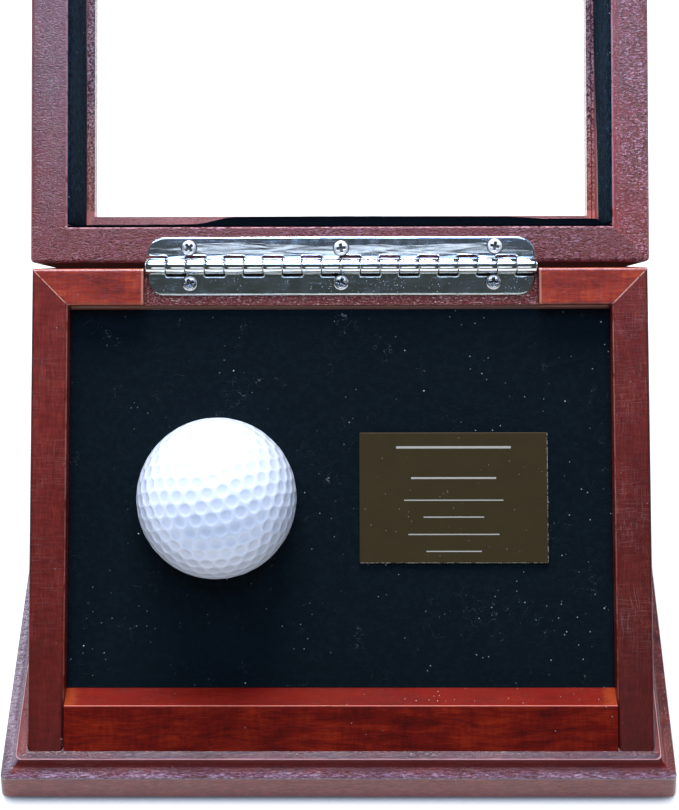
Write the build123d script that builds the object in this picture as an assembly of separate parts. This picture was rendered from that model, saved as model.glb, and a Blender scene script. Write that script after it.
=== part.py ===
from build123d import *
import math
import os

# Golf ball display case: a wedge-shaped desktop stand on a moulded base, with a
# sloping display panel and a deep glazed lid on a long piano hinge.
# Millimetres, +Z up, +Y to the back. The origin is the centre of the felt's
# resting face. At rest the lid is open, against its stop.

# ---- driving dimensions -------------------------------------------------
slope_deg = 35.0            # slope of the display face above horizontal
open_tilt = 2.5             # the open lid stops this many degrees short of the face's plane
felt_t = 1.0                # felt under the base
felt_inset = 3.0
base_t = 16.0               # base board
base_face = 13.0            # upright part of the base board's edge
base_flat = 2.2             # flat margin between body and cove
base_cove = 3.9             # width of the cove
base_lean = 1.6             # how far each end face of the base leans out to its foot
body_w = 165.6              # across the side boards
board_t = 9.7               # side boards
face_len = 127.5            # display face, measured up the slope
rail_top = 9.8              # width of the top rail on the face
rail_front = 11.7           # width of the front rail on the face
rail_deep = 46.0            # depth of the top rail, square to the face
end_splay = 3.13            # how far the end face leans out over that depth
back_t = 6.0
recess = 4.8                # velvet surface below the face
ledge_run = 3.9             # how far the ledge leans back up the slope
velvet_t = 0.8
panel_t = 5.0
ball_d = 42.67
ball_x, ball_s = -32.95, 66.2
seat_r = 21.2               # hole in the velvet
hold_r = 21.0               # hole in the board, smaller than the ball, which rests on its edge
ball_h = 3.35               # ball centre above the velvet
plate_w, plate_h, plate_t = 50.6, 34.8, 0.8
plate_x, plate_s = 30.5, 65.95
# hinge
hinge_x = 0.4
hinge_len = 105.0
knuckles = 20
barrel_r = 2.15
pin_r = 1.0
bore_r = 1.05
leaf_t = 0.9
leaf_w = 7.95               # axis to the leaf's edge
leaf_corner = 4.8
knuckle_gap = 0.15
axis_s = face_len + 0.75    # axis, up the slope
mortise_d = 3.4             # body leaf's mortise
axis_n = -mortise_d + barrel_r
screw_x = 41.0
body_screw_s = 4.5          # screw line below the axis
lid_screw_s = 4.95          # screw line above the axis
head_d, head_h = 4.4, 1.0
shank_d, shank_l = 2.2, 9.0
# lid
lid_w = 167.8
lid_len = 126.5
lid_deep = 40.0
lid_off = 0.9               # axis to the lid's outer wall
lid_side = 10.1             # thickness of the side rails
lid_end = 9.7               # thickness of the hinge and front rails
lid_cavity = 34.0           # rim to lip
lip_side = 2.2
lip_hinge = 4.4
glass_t = 2.0
lining_t = 1.0

a = math.radians(slope_deg)
ca, sa = math.cos(a), math.sin(a)
half = body_w / 2
end_s = face_len + end_splay
# the back of the body stands under the lower corner of the end face
body_depth = end_s * ca + rail_deep * sa
back_z = end_s * sa - rail_deep * ca
over = base_flat + base_cove
base_w = body_w + 2 * over
base_d = body_depth + 2 * over
y0 = -base_d / 2 + over                 # front line of the body
z0 = felt_t + base_t                    # top of the base
n_vec = (0, -sa, ca)

# face coordinates: x across, y up the slope, z square out of the face
face = Plane(origin=(0, y0, z0), x_dir=(1, 0, 0), z_dir=n_vec)


def on_face(s, n):
    """y and z in the shared frame of a point of the face frame"""
    return y0 + s * ca - n * sa, z0 + s * sa + n * ca


def block(x1, x2, y1, y2, z1, z2):
    return Pos((x1 + x2) / 2, (y1 + y2) / 2, (z1 + z2) / 2) * Box(x2 - x1, y2 - y1, z2 - z1)


def prism_x(points, x1, x2):
    """a profile given in (y, z), carried along X from x1 to x2"""
    wire = Polyline(*[(0, p[0], p[1]) for p in points], close=True)
    f = make_face(wire)
    s = extrude(f, amount=x2 - x1, dir=(1, 0, 0))
    return Pos(x1, 0, 0) * s


def prism_z(points, z1, z2):
    wire = Polyline(*[(p[0], p[1], 0) for p in points], close=True)
    return Pos(0, 0, z1) * extrude(make_face(wire), amount=z2 - z1, dir=(0, 0, 1))


def rod_x(r, x1, x2, y=0.0, z=0.0):
    c = Cylinder(r, x2 - x1, rotation=(0, 90, 0))
    return Pos((x1 + x2) / 2, y, z) * c


def to_world(shape):
    return face.location * shape


# world line of the hinge
axis_y, axis_z = on_face(axis_s, axis_n)
t = math.radians(slope_deg + open_tilt)
# lid coordinates: x across, y up the open lid, z square to its rim; origin on the hinge axis
lid = Plane(origin=(0, axis_y, axis_z), x_dir=(1, 0, 0), z_dir=(0, -math.sin(t), math.cos(t)))


def lid_world(shape):
    return lid.location * shape


nodes = {}


def edges_along(shape, axis, test):
    return [e for e in shape.edges() if e.geom_type == GeomType.LINE
            and abs(abs((e @ 1 - e @ 0).normalized().dot(axis)) - 1) < 1e-6 and test(e @ 0.5)]


# ---- base ---------------------------------------------------------------
bw, bd = base_w / 2, base_d / 2
drop = base_t - base_face


def cove_solid(w, d, low_z, lean=0.0):
    """a long board moulded along both edges that run along X, whose edge faces lean out to the foot"""
    kq = 0.5523    # a quarter turn drawn as one curve
    edges = [
        Line((-d - lean, low_z), (d + lean, low_z)),
        Line((d + lean, low_z), (d, z0 - drop)),
        Bezier((d, z0 - drop), (d - kq * base_cove, z0 - drop), (d - base_cove, z0 - kq * drop), (d - base_cove, z0)),
        Line((d - base_cove, z0), (-d + base_cove, z0)),
        Bezier((-d + base_cove, z0), (-d + base_cove, z0 - kq * drop), (-d + kq * base_cove, z0 - drop), (-d, z0 - drop)),
        Line((-d, z0 - drop), (-d - lean, low_z)),
    ]
    profile = Plane.YZ * make_face(edges)
    return Pos(-w, 0, 0) * extrude(profile, amount=2 * w, dir=(1, 0, 0))


base = cove_solid(bw + base_lean, bd, felt_t) & (Rot(0, 0, 90) * cove_solid(bd, bw, felt_t, base_lean))
base = fillet([e for e in base.edges() if abs((e @ 0).Z - (e @ 1).Z) > 8], 1.1)
low = [e for e in base.edges() if (e @ 0.5).Z < felt_t + 1e-3 and (e @ 0).Z < felt_t + 1e-3]
base = fillet(low, 0.5)
base_screw_at = [(x, y0 + d) for x in (-half + board_t / 2, half - board_t / 2) for d in (42.0, 102.0)]
bs_r, bs_head, bs_len = 1.7, 3.5, 28.0


def base_screw(grow=0.0):
    s = Cylinder(bs_r + grow, bs_len, align=(Align.CENTER, Align.CENTER, Align.MIN))
    s = s + Cone(bs_head + grow, bs_r + grow, 2.2, align=(Align.CENTER, Align.CENTER, Align.MIN))
    return s


for x, y in base_screw_at:
    base = base - Pos(x, y, felt_t) * base_screw(0.03)
nodes["base_plate"] = base

felt = block(-bw + felt_inset, bw - felt_inset, -bd + felt_inset, bd - felt_inset, 0, felt_t)
nodes["base_felt"] = fillet(felt.edges().filter_by(Axis.Z), 2.0)

screws = []
for x, y in base_screw_at:
    s = base_screw()
    for q in (0, 90):
        s = s - Rot(0, 0, q) * block(-2.0, 2.0, -0.4, 0.4, -0.1, 1.5)
    screws.append(Pos(x, y, felt_t) * s)
nodes["base_screws"] = Compound(children=screws)

# ---- body ---------------------------------------------------------------
prof = [on_face(0, 0), on_face(face_len, 0), on_face(end_s, -rail_deep), (y0 + body_depth, z0)]


def mitre_block(side):
    """the half of space, in face coordinates, that belongs to the top rail at one upper corner"""
    x = side * half
    k = 800.0
    # line from the outer corner down and inward through the inner corner of the face
    dx, ds = -side * board_t, -rail_top
    p0 = (x - dx * 4, face_len - ds * 4)
    p1 = (x + dx * 50, face_len + ds * 50)
    pts = [p0, p1, (p1[0] - side * k, p1[1] + k), (p0[0] - side * k, p0[1] + k)]
    return to_world(prism_z(pts, -rail_deep, 5.0))


def side_board(side):
    x1, x2 = (half - board_t, half) if side > 0 else (-half, -half + board_t)
    b = prism_x(prof, x1, x2)
    u = Vector(0, ca, sa)
    outer = edges_along(b, u, lambda m: abs(abs(m.X) - half) < 1e-3)
    inner = edges_along(b, u, lambda m: abs(abs(m.X) - (half - board_t)) < 1e-3)
    b = fillet(outer, 1.0)
    inner = edges_along(b, u, lambda m: abs(abs(m.X) - (half - board_t)) < 1e-3)
    b = fillet(inner, 1.2)
    back = edges_along(b, Vector(0, 0, 1), lambda m: abs(abs(m.X) - half) < 1e-3)
    b = fillet(back, 1.0)
    b = b - mitre_block(side)
    for sx, sy in base_screw_at:
        if sx * side > 0:
            b = b - Pos(sx, sy, felt_t) * base_screw(0.03)
    return b


nodes["left_side_board"] = side_board(-1)
nodes["right_side_board"] = side_board(1)

tp = [on_face(face_len - rail_top, 0), on_face(face_len, 0), on_face(end_s, -rail_deep), on_face(face_len - rail_top, -rail_deep)]
top = prism_x(tp, -half, half)
top = fillet(edges_along(top, Vector(1, 0, 0), lambda m: (m - Vector(m.X, *on_face(face_len, 0))).length < 1e-3), 0.8)
top = fillet(edges_along(top, Vector(1, 0, 0), lambda m: (m - Vector(m.X, *on_face(face_len - rail_top, 0))).length < 1e-3), 0.7)
top = top & mitre_block(-1) & mitre_block(1)
top = fillet([e for e in top.edges() if False] or edges_along(top, Vector(1, 0, 0), lambda m: (m - Vector(m.X, *on_face(end_s, -rail_deep))).length < 1e-3), 0.6)
mort = block(hinge_x - hinge_len / 2 - 0.7, hinge_x + hinge_len / 2 + 0.7, face_len - rail_top - 2, face_len + 6, -mortise_d, 3)
top = top - to_world(mort)
top = top - rod_x(barrel_r + 0.3, hinge_x - hinge_len / 2 - 0.7, hinge_x + hinge_len / 2 + 0.7, axis_y, axis_z)


def wood_screw(grow=0.0):
    """under its head at z = 0, pointing down"""
    r = shank_d / 2 + grow
    s = Pos(0, 0, -shank_l + 1.5) * Cylinder(r, shank_l - 1.5, align=(Align.CENTER, Align.CENTER, Align.MIN))
    s = s + Pos(0, 0, -shank_l) * Cone(0.2, r, 1.5, align=(Align.CENTER, Align.CENTER, Align.MIN))
    return s


def headed_screw(turn):
    r = head_d / 2
    # domed pan head: a disc with a crowned top
    crown = (r * r + head_h * head_h) / (2 * head_h)
    ball = Pos(0, 0, head_h - crown) * Sphere(crown)
    head = (ball & Cylinder(r, 3, align=(Align.CENTER, Align.CENTER, Align.MIN)))
    cross = block(-1.15, 1.15, -0.28, 0.28, head_h - 0.75, 3) + block(-0.28, 0.28, -1.15, 1.15, head_h - 0.75, 3)
    cross = cross + Pos(0, 0, head_h - 0.75) * Cylinder(0.5, 3, align=(Align.CENTER, Align.CENTER, Align.MIN))
    return Rot(0, 0, turn) * (head - cross) + wood_screw()


body_screw_at = [(hinge_x - screw_x + 0.1, axis_s - body_screw_s - 0.15), (hinge_x, axis_s - body_screw_s), (hinge_x + screw_x + 0.1, axis_s - body_screw_s + 0.05)]
for x, s in body_screw_at:
    top = top - to_world(Pos(x, s, -mortise_d + leaf_t) * wood_screw(0.03))
nodes["top_rail"] = top

# front rail: face, arris, ledge leaning back to the velvet, then down to the base
lx = half - board_t
in_n = -recess - velvet_t - panel_t
ledge_s = rail_front + ledge_run
fy, fz = on_face(ledge_s, in_n)
fr = [on_face(0, 0), on_face(rail_front, 0), on_face(ledge_s, -recess), on_face(ledge_s, in_n)]
if fz > z0:
    fr.append((fy, z0))
front = prism_x(fr, -lx, lx)
front = fillet(edges_along(front, Vector(1, 0, 0), lambda m: (m - Vector(m.X, *on_face(rail_front, 0))).length < 1e-3), 0.5)
nodes["front_rail"] = front

back = block(-lx, lx, y0 + body_depth - back_t, y0 + body_depth, z0, z0 + 90)
back = back & to_world(block(-lx, lx, -50, 260, -200, -rail_deep))
nodes["back_board"] = back

top_in = face_len - rail_top
board = block(-lx + 0.1, lx - 0.1, ledge_s + 0.1, top_in - 0.1, -recess - velvet_t - panel_t, -recess - velvet_t)
board = board - Pos(ball_x, ball_s, -recess - velvet_t - panel_t) * Cylinder(hold_r, 40)
nodes["display_board"] = to_world(board)

velvet = block(-lx + 0.15, lx - 0.15, ledge_s + 0.1, top_in - 1.05, -recess - velvet_t, -recess)
velvet = velvet - Pos(ball_x, ball_s, -recess) * Cylinder(seat_r, 40)
nodes["velvet_facing"] = to_world(velvet)

for name, side in (("left_cleat", -1), ("right_cleat", 1)):
    xa, xb = (lx - 8, lx) if side > 0 else (-lx, -lx + 8)
    nodes[name] = to_world(block(xa, xb, 30, 112, in_n - 8, in_n))

plate = block(-plate_w / 2, plate_w / 2, -plate_h / 2, plate_h / 2, 0, plate_t)
plate = fillet(plate.edges().filter_by(Axis.Z), 0.5)
plate = chamfer(plate.faces().sort_by(Axis.Z)[-1].edges(), 0.18)
nodes["nameplate"] = to_world(Pos(plate_x, plate_s, -recess) * plate)

# ---- hinge --------------------------------------------------------------
pitch = hinge_len / knuckles
x_left = hinge_x - hinge_len / 2


def leaf(sign, first, holes):
    """sign -1: plate runs down the slope (body); +1: up it (lid). Origin on the hinge axis."""
    xa, xb = x_left, x_left + hinge_len
    ya, yb = (0, leaf_w) if sign > 0 else (-leaf_w, 0)
    plate = block(xa, xb, ya, yb, -barrel_r, -barrel_r + leaf_t)
    corners = edges_along(plate, Vector(0, 0, 1), lambda m: abs(m.Y - sign * leaf_w) < 1e-6)
    plate = fillet(corners, leaf_corner)
    rim = [e for e in plate.faces().sort_by(Axis.Z)[-1].edges() if abs((e @ 0.5).Y) > 0.1]
    plate = chamfer(rim, 0.2)
    # slots for the other leaf's knuckles
    for i in range(knuckles):
        xs, xe = x_left + i * pitch, x_left + (i + 1) * pitch
        if i % 2 != first:
            lo = xs - (knuckle_gap / 2 if i else 1)
            hi = xe + (knuckle_gap / 2 if i < knuckles - 1 else 1)
            y_in = sign * (barrel_r + 0.3)
            plate = plate - block(lo, hi, min(-3 * sign, y_in), max(-3 * sign, y_in), -5, 5)
        else:
            plate = plate + rod_x(barrel_r, xs + knuckle_gap / 2, xe - knuckle_gap / 2)
    plate = plate - rod_x(bore_r, xa - 1, xb + 1)
    for hx, hy in holes:
        plate = plate - Pos(hx, hy, -barrel_r) * Cylinder(shank_d / 2 + 0.1, 6)
    return plate


body_holes = [(x, s - axis_s) for x, s in body_screw_at]
lid_holes = [(hinge_x - screw_x - 0.1, lid_screw_s - 0.05), (hinge_x, lid_screw_s - 0.2), (hinge_x + screw_x + 0.5, lid_screw_s + 0.25)]
hinge_loc = Pos(0, axis_s, axis_n)
nodes["hinge_body_leaf"] = to_world(hinge_loc * leaf(-1, 0, body_holes))
nodes["hinge_lid_leaf"] = lid_world(leaf(1, 1, lid_holes))
nodes["hinge_pin"] = rod_x(pin_r, x_left - 0.2, x_left + hinge_len + 0.2, axis_y, axis_z)
turns = (20, -35, 8)
nodes["body_hinge_screws"] = Compound(children=[
    to_world(Pos(x, s, -mortise_d + leaf_t) * headed_screw(turns[i])) for i, (x, s) in enumerate(body_screw_at)])
nodes["lid_hinge_screws"] = Compound(children=[
    lid_world(Pos(x, y, -barrel_r + leaf_t) * headed_screw((40, 5, -12)[i])) for i, (x, y) in enumerate(lid_holes)])

# ---- lid ----------------------------------------------------------------
hw = lid_w / 2
s1, s2 = lid_off, lid_off + lid_len
rim = -barrel_r
floor_n = rim - lid_cavity
outer_n = rim - lid_deep
# each rail is a moulded strip with a lip under the glass, mitred at both ends


def rail_profile(thick, lip):
    """section with its outer wall at 0, lip to the right; (across, square to the rim)"""
    pts = [(0, rim), (0, outer_n), (thick + lip, outer_n), (thick + lip, floor_n), (thick, floor_n), (thick, rim)]
    return make_face(Polyline(*pts, close=True))


def rounded(strip, along, test_radii):
    for test, r in test_radii:
        es = [e for e in strip.edges() if e.geom_type == GeomType.LINE
              and abs(abs((e @ 1 - e @ 0).normalized().dot(along)) - 1) < 1e-6 and test(e @ 0.5)]
        strip = fillet(es, r)
    return strip


def rail_along_x(side, thick, lip):
    f = rail_profile(thick, lip)
    strip = extrude(Plane.YZ * f, amount=2 * hw + 10, dir=(1, 0, 0))
    strip = Pos(-hw - 5, 0, 0) * strip
    strip = rounded(strip, Vector(1, 0, 0), [
        (lambda m: abs(m.Y) < 1e-6 and abs(m.Z - outer_n) < 1e-6, 1.5),
        (lambda m: abs(m.Y) < 1e-6 and abs(m.Z - rim) < 1e-6, 1.1),
        (lambda m: abs(m.Y - thick) < 1e-6 and abs(m.Z - rim) < 1e-6, 0.5),
        (lambda m: abs(m.Y - thick - lip) < 1e-6 and abs(m.Z - outer_n) < 1e-6, 1.0)])
    if side > 0:
        strip = Pos(0, s2, 0) * (Rot(0, 0, 180) * strip)
    else:
        strip = Pos(0, s1, 0) * strip
    return strip


def rail_along_y(side, thick, lip):
    f = rail_profile(thick, lip)
    length = lid_len + 10
    strip = extrude(Plane.XZ * f, amount=length, dir=(0, 1, 0))
    strip = rounded(strip, Vector(0, 1, 0), [
        (lambda m: abs(m.X) < 1e-6 and abs(m.Z - outer_n) < 1e-6, 1.5),
        (lambda m: abs(m.X) < 1e-6 and abs(m.Z - rim) < 1e-6, 1.1),
        (lambda m: abs(m.X - thick) < 1e-6 and abs(m.Z - rim) < 1e-6, 0.5),
        (lambda m: abs(m.X - thick - lip) < 1e-6 and abs(m.Z - outer_n) < 1e-6, 1.0)])
    if side > 0:
        return Pos(hw, s2 + 5, 0) * (Rot(0, 0, 180) * strip)
    return Pos(-hw, s1 - 5, 0) * strip


# joint lines: outer corner, inner corner of the rim, inner corner of the lip
jl = {}
for sx in (-1, 1):
    jl[(sx, 0)] = [(sx * (hw + 3 * lid_side), s1 - 3 * lid_end), (sx * (hw - lid_side), s1 + lid_end),
                   (sx * (hw - lid_side - lip_side), s1 + lid_end + lip_hinge)]
    jl[(sx, 1)] = [(sx * (hw + 3 * lid_side), s2 + 3 * lid_end), (sx * (hw - lid_side), s2 - lid_end),
                   (sx * (hw - lid_side - lip_side), s2 - lid_end - lip_side)]
k1, k2 = outer_n - 2, rim + 2
mid = (s1 + s2) / 2
masks = {
    "lid_left_rail": jl[(-1, 0)] + [(-hw + 25, mid)] + jl[(-1, 1)][::-1],
    "lid_right_rail": jl[(1, 0)] + [(hw - 25, mid)] + jl[(1, 1)][::-1],
    "lid_hinge_rail": jl[(-1, 0)] + jl[(1, 0)][::-1],
    "lid_front_rail": jl[(-1, 1)] + jl[(1, 1)][::-1],
}
strips = {
    "lid_left_rail": rail_along_y(-1, lid_side, lip_side),
    "lid_right_rail": rail_along_y(1, lid_side, lip_side),
    "lid_hinge_rail": rail_along_x(-1, lid_end, lip_hinge),
    "lid_front_rail": rail_along_x(1, lid_end, lip_side),
}
outline = fillet(block(-hw, hw, s1, s2, k1, k2).edges().filter_by(Axis.Z), 1.6)
rails = {}
for name, pts in masks.items():
    rails[name] = (strips[name] & prism_z(pts, k1, k2)) & outline
for x, y in lid_holes:
    rails["lid_hinge_rail"] = rails["lid_hinge_rail"] - Pos(x, y, -barrel_r + leaf_t) * wood_screw(0.03)
for name, shape in rails.items():
    nodes[name] = lid_world(shape)

gx, gs1, gs2 = hw - lid_side - 0.2, s1 + lid_end + 0.2, s2 - lid_end - 0.2
glass = block(-gx, gx, gs1, gs2, floor_n, floor_n + glass_t)
nodes["lid_glass"] = lid_world(glass)

lt, lb = rim - 0.4, floor_n + glass_t + 0.1
ix = hw - lid_side
i1, i2 = s1 + lid_end, s2 - lid_end
nodes["lid_lining_hinge"] = lid_world(block(-ix, ix, i1, i1 + lining_t, lb, lt))
nodes["lid_lining_front"] = lid_world(block(-ix, ix, i2 - lining_t, i2, lb, lt))
nodes["lid_lining_left"] = lid_world(block(-ix, -ix + lining_t, i1 + lining_t, i2 - lining_t, lb, lt))
nodes["lid_lining_right"] = lid_world(block(ix - lining_t, ix, i1 + lining_t, i2 - lining_t, lb, lt))

# ---- contents -----------------------------------------------------------
by, bz = on_face(ball_s, -recess + ball_h)
nodes["golf_ball"] = Pos(ball_x, by, bz) * Sphere(ball_d / 2)

os.makedirs("parts", exist_ok=True)
for old in os.listdir("parts"):
    if old.endswith(".step") and old[:-5] not in nodes:
        os.remove(os.path.join("parts", old))
for name, shape in nodes.items():
    export_step(shape, "parts/" + name + ".step")

print("base", round(base_w, 2), round(base_d, 2), "y0", round(y0, 3), "z0", z0)
print("hinge axis", round(axis_y, 4), round(axis_z, 4), "lid angle", slope_deg + open_tilt)
print("ball centre", round(ball_x, 3), round(by, 4), round(bz, 4))
print("normal", n_vec)
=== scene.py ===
import bpy
import bmesh
import math
import numpy as np
from mathutils import Matrix, Vector, noise


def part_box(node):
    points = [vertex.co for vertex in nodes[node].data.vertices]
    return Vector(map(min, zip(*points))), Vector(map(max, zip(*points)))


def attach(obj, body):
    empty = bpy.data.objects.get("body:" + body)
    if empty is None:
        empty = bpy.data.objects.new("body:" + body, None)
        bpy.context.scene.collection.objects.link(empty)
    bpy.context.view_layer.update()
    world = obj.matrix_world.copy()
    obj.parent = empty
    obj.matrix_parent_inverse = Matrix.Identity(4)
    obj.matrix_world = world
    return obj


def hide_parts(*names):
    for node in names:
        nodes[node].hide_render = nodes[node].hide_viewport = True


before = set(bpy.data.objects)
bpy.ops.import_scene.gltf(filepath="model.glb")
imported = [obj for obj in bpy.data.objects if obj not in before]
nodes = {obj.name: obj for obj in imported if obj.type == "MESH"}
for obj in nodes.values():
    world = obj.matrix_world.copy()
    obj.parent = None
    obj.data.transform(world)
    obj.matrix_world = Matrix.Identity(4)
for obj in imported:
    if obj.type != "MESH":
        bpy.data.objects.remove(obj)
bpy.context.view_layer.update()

# ---------------------------------------------------------------- frames
MM = 0.001
SLOPE = math.radians(35.0)
TILT = math.radians(37.5)
Y0, Z0 = -66.695, 17.0
AX_S, AX_N = 128.25, -1.25
CA, SA = math.cos(SLOPE), math.sin(SLOPE)
AY, AZ = Y0 + AX_S * CA - AX_N * SA, Z0 + AX_S * SA + AX_N * CA
# matrices that take face and lid coordinates, in mm, to the row frame, in metres
FACE = Matrix.Translation((0, Y0 * MM, Z0 * MM)) @ Matrix.Rotation(SLOPE, 4, "X") @ Matrix.Scale(MM, 4)
LID = Matrix.Translation((0, AY * MM, AZ * MM)) @ Matrix.Rotation(TILT, 4, "X") @ Matrix.Scale(MM, 4)
FLAT = Matrix.Scale(MM, 4)
rng = np.random.default_rng(7)


# ---------------------------------------------------------------- node helpers
class Mat:
    """A material being written: every method adds a node and returns its output socket."""

    def __init__(self, name):
        self.m = bpy.data.materials.new(name)
        self.m.use_nodes = True
        self.t = self.m.node_tree
        for n in list(self.t.nodes):
            self.t.nodes.remove(n)
        self.out = self.t.nodes.new("ShaderNodeOutputMaterial")

    def node(self, kind, **props):
        n = self.t.nodes.new(kind)
        for k, v in props.items():
            setattr(n, k, v)
        return n

    def put(self, sock, v):
        if v is None:
            return
        if isinstance(v, bpy.types.NodeSocket):
            self.t.links.new(v, sock)
        elif isinstance(v, (int, float)):
            if sock.type in ("RGBA", "VECTOR") and hasattr(sock.default_value, "__len__"):
                n = len(sock.default_value)
                sock.default_value = [v] * 3 + ([1.0] if n == 4 else [])
            else:
                sock.default_value = v
        else:
            v = list(v)
            if sock.type == "RGBA" and len(v) == 3:
                v = v + [1.0]
            sock.default_value = v

    def math(self, op, a, b=None, c=None, clamp=False):
        n = self.node("ShaderNodeMath", operation=op, use_clamp=clamp)
        self.put(n.inputs[0], a)
        self.put(n.inputs[1], b)
        self.put(n.inputs[2], c)
        return n.outputs[0]

    def add(self, a, b):
        return self.math("ADD", a, b)

    def mul(self, a, b):
        return self.math("MULTIPLY", a, b)

    def sub(self, a, b):
        return self.math("SUBTRACT", a, b)

    def vadd(self, a, b):
        n = self.node("ShaderNodeVectorMath", operation="ADD")
        self.put(n.inputs[0], a)
        self.put(n.inputs[1], b)
        return n.outputs[0]

    def vscale(self, a, s):
        n = self.node("ShaderNodeVectorMath", operation="SCALE")
        self.put(n.inputs[0], a)
        self.put(n.inputs[3], s)
        return n.outputs[0]

    def ramp01(self, v, lo, hi, smooth=True):
        n = self.node("ShaderNodeMapRange", interpolation_type="SMOOTHSTEP" if smooth else "LINEAR")
        n.clamp = True
        self.put(n.inputs[0], v)
        n.inputs[1].default_value = lo
        n.inputs[2].default_value = hi
        n.inputs[3].default_value = 0.0
        n.inputs[4].default_value = 1.0
        return n.outputs[0]

    def rng(self, v, lo, hi, a, b):
        n = self.node("ShaderNodeMapRange")
        n.clamp = True
        self.put(n.inputs[0], v)
        for i, x in zip((1, 2, 3, 4), (lo, hi, a, b)):
            n.inputs[i].default_value = x
        return n.outputs[0]

    def mix(self, f, a, b, blend="MIX"):
        n = self.node("ShaderNodeMix", data_type="RGBA", blend_type=blend)
        self.put(n.inputs[0], f)
        self.put(n.inputs[6], a)
        self.put(n.inputs[7], b)
        return n.outputs[2]

    def mixf(self, f, a, b):
        n = self.node("ShaderNodeMix", data_type="FLOAT")
        self.put(n.inputs[0], f)
        self.put(n.inputs[2], a)
        self.put(n.inputs[3], b)
        return n.outputs[0]

    def ramp(self, v, stops):
        n = self.node("ShaderNodeValToRGB")
        el = n.color_ramp.elements
        while len(el) < len(stops):
            el.new(0.5)
        for e, (p, c) in zip(el, stops):
            e.position = p
            e.color = list(c) + [1.0] if len(c) == 3 else c
        self.put(n.inputs[0], v)
        return n.outputs[0]

    def coords(self, m):
        """object coordinates, in mm, in the frame of matrix m"""
        tc = self.node("ShaderNodeTexCoord")
        inv = m.inverted()
        loc, rot, sc = inv.decompose()
        mp = self.node("ShaderNodeMapping", vector_type="POINT")
        mp.inputs["Location"].default_value = loc
        mp.inputs["Rotation"].default_value = rot.to_euler()
        mp.inputs["Scale"].default_value = sc
        self.put(mp.inputs[0], tc.outputs["Object"])
        return mp.outputs[0]

    def sep(self, v):
        n = self.node("ShaderNodeSeparateXYZ")
        self.put(n.inputs[0], v)
        return n.outputs

    def comb(self, x, y, z):
        n = self.node("ShaderNodeCombineXYZ")
        for i, v in enumerate((x, y, z)):
            self.put(n.inputs[i], v)
        return n.outputs[0]

    def stretch(self, v, s, off=(0, 0, 0)):
        mp = self.node("ShaderNodeMapping", vector_type="POINT")
        mp.inputs["Scale"].default_value = s
        mp.inputs["Location"].default_value = off
        self.put(mp.inputs[0], v)
        return mp.outputs[0]

    def noise(self, v, scale, detail=3.0, rough=0.55, dist=0.0, color=False, lac=2.0):
        n = self.node("ShaderNodeTexNoise", noise_dimensions="3D")
        self.put(n.inputs["Vector"], v)
        self.put(n.inputs["Scale"], scale)
        self.put(n.inputs["Detail"], detail)
        self.put(n.inputs["Roughness"], rough)
        self.put(n.inputs["Lacunarity"], lac)
        self.put(n.inputs["Distortion"], dist)
        return n.outputs["Color" if color else "Fac"]

    def voronoi(self, v, scale, feature="F1", out="Distance", rand=1.0, smooth=None):
        n = self.node("ShaderNodeTexVoronoi", feature=feature, voronoi_dimensions="3D")
        self.put(n.inputs["Vector"], v)
        self.put(n.inputs["Scale"], scale)
        self.put(n.inputs["Randomness"], rand)
        if smooth is not None:
            self.put(n.inputs["Smoothness"], smooth)
        return n.outputs[out]

    def bump(self, height, dist, strength=1.0, normal=None):
        n = self.node("ShaderNodeBump")
        self.put(n.inputs["Strength"], strength)
        self.put(n.inputs["Distance"], dist)
        self.put(n.inputs["Height"], height)
        if normal is not None:
            self.put(n.inputs["Normal"], normal)
        return n.outputs[0]

    def principled(self, **kw):
        n = self.node("ShaderNodeBsdfPrincipled")
        for k, v in kw.items():
            self.put(n.inputs[k.replace("_", " ")], v)
        return n

    def finish(self, shader, disp=None):
        self.put(self.out.inputs["Surface"], shader)
        return self.m


def lin(r, g, b):
    """display values 0-255 to linear"""
    def f(c):
        c /= 255.0
        return c / 12.92 if c <= 0.04045 else ((c + 0.055) / 1.055) ** 2.4
    return (f(r), f(g), f(b))


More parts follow.
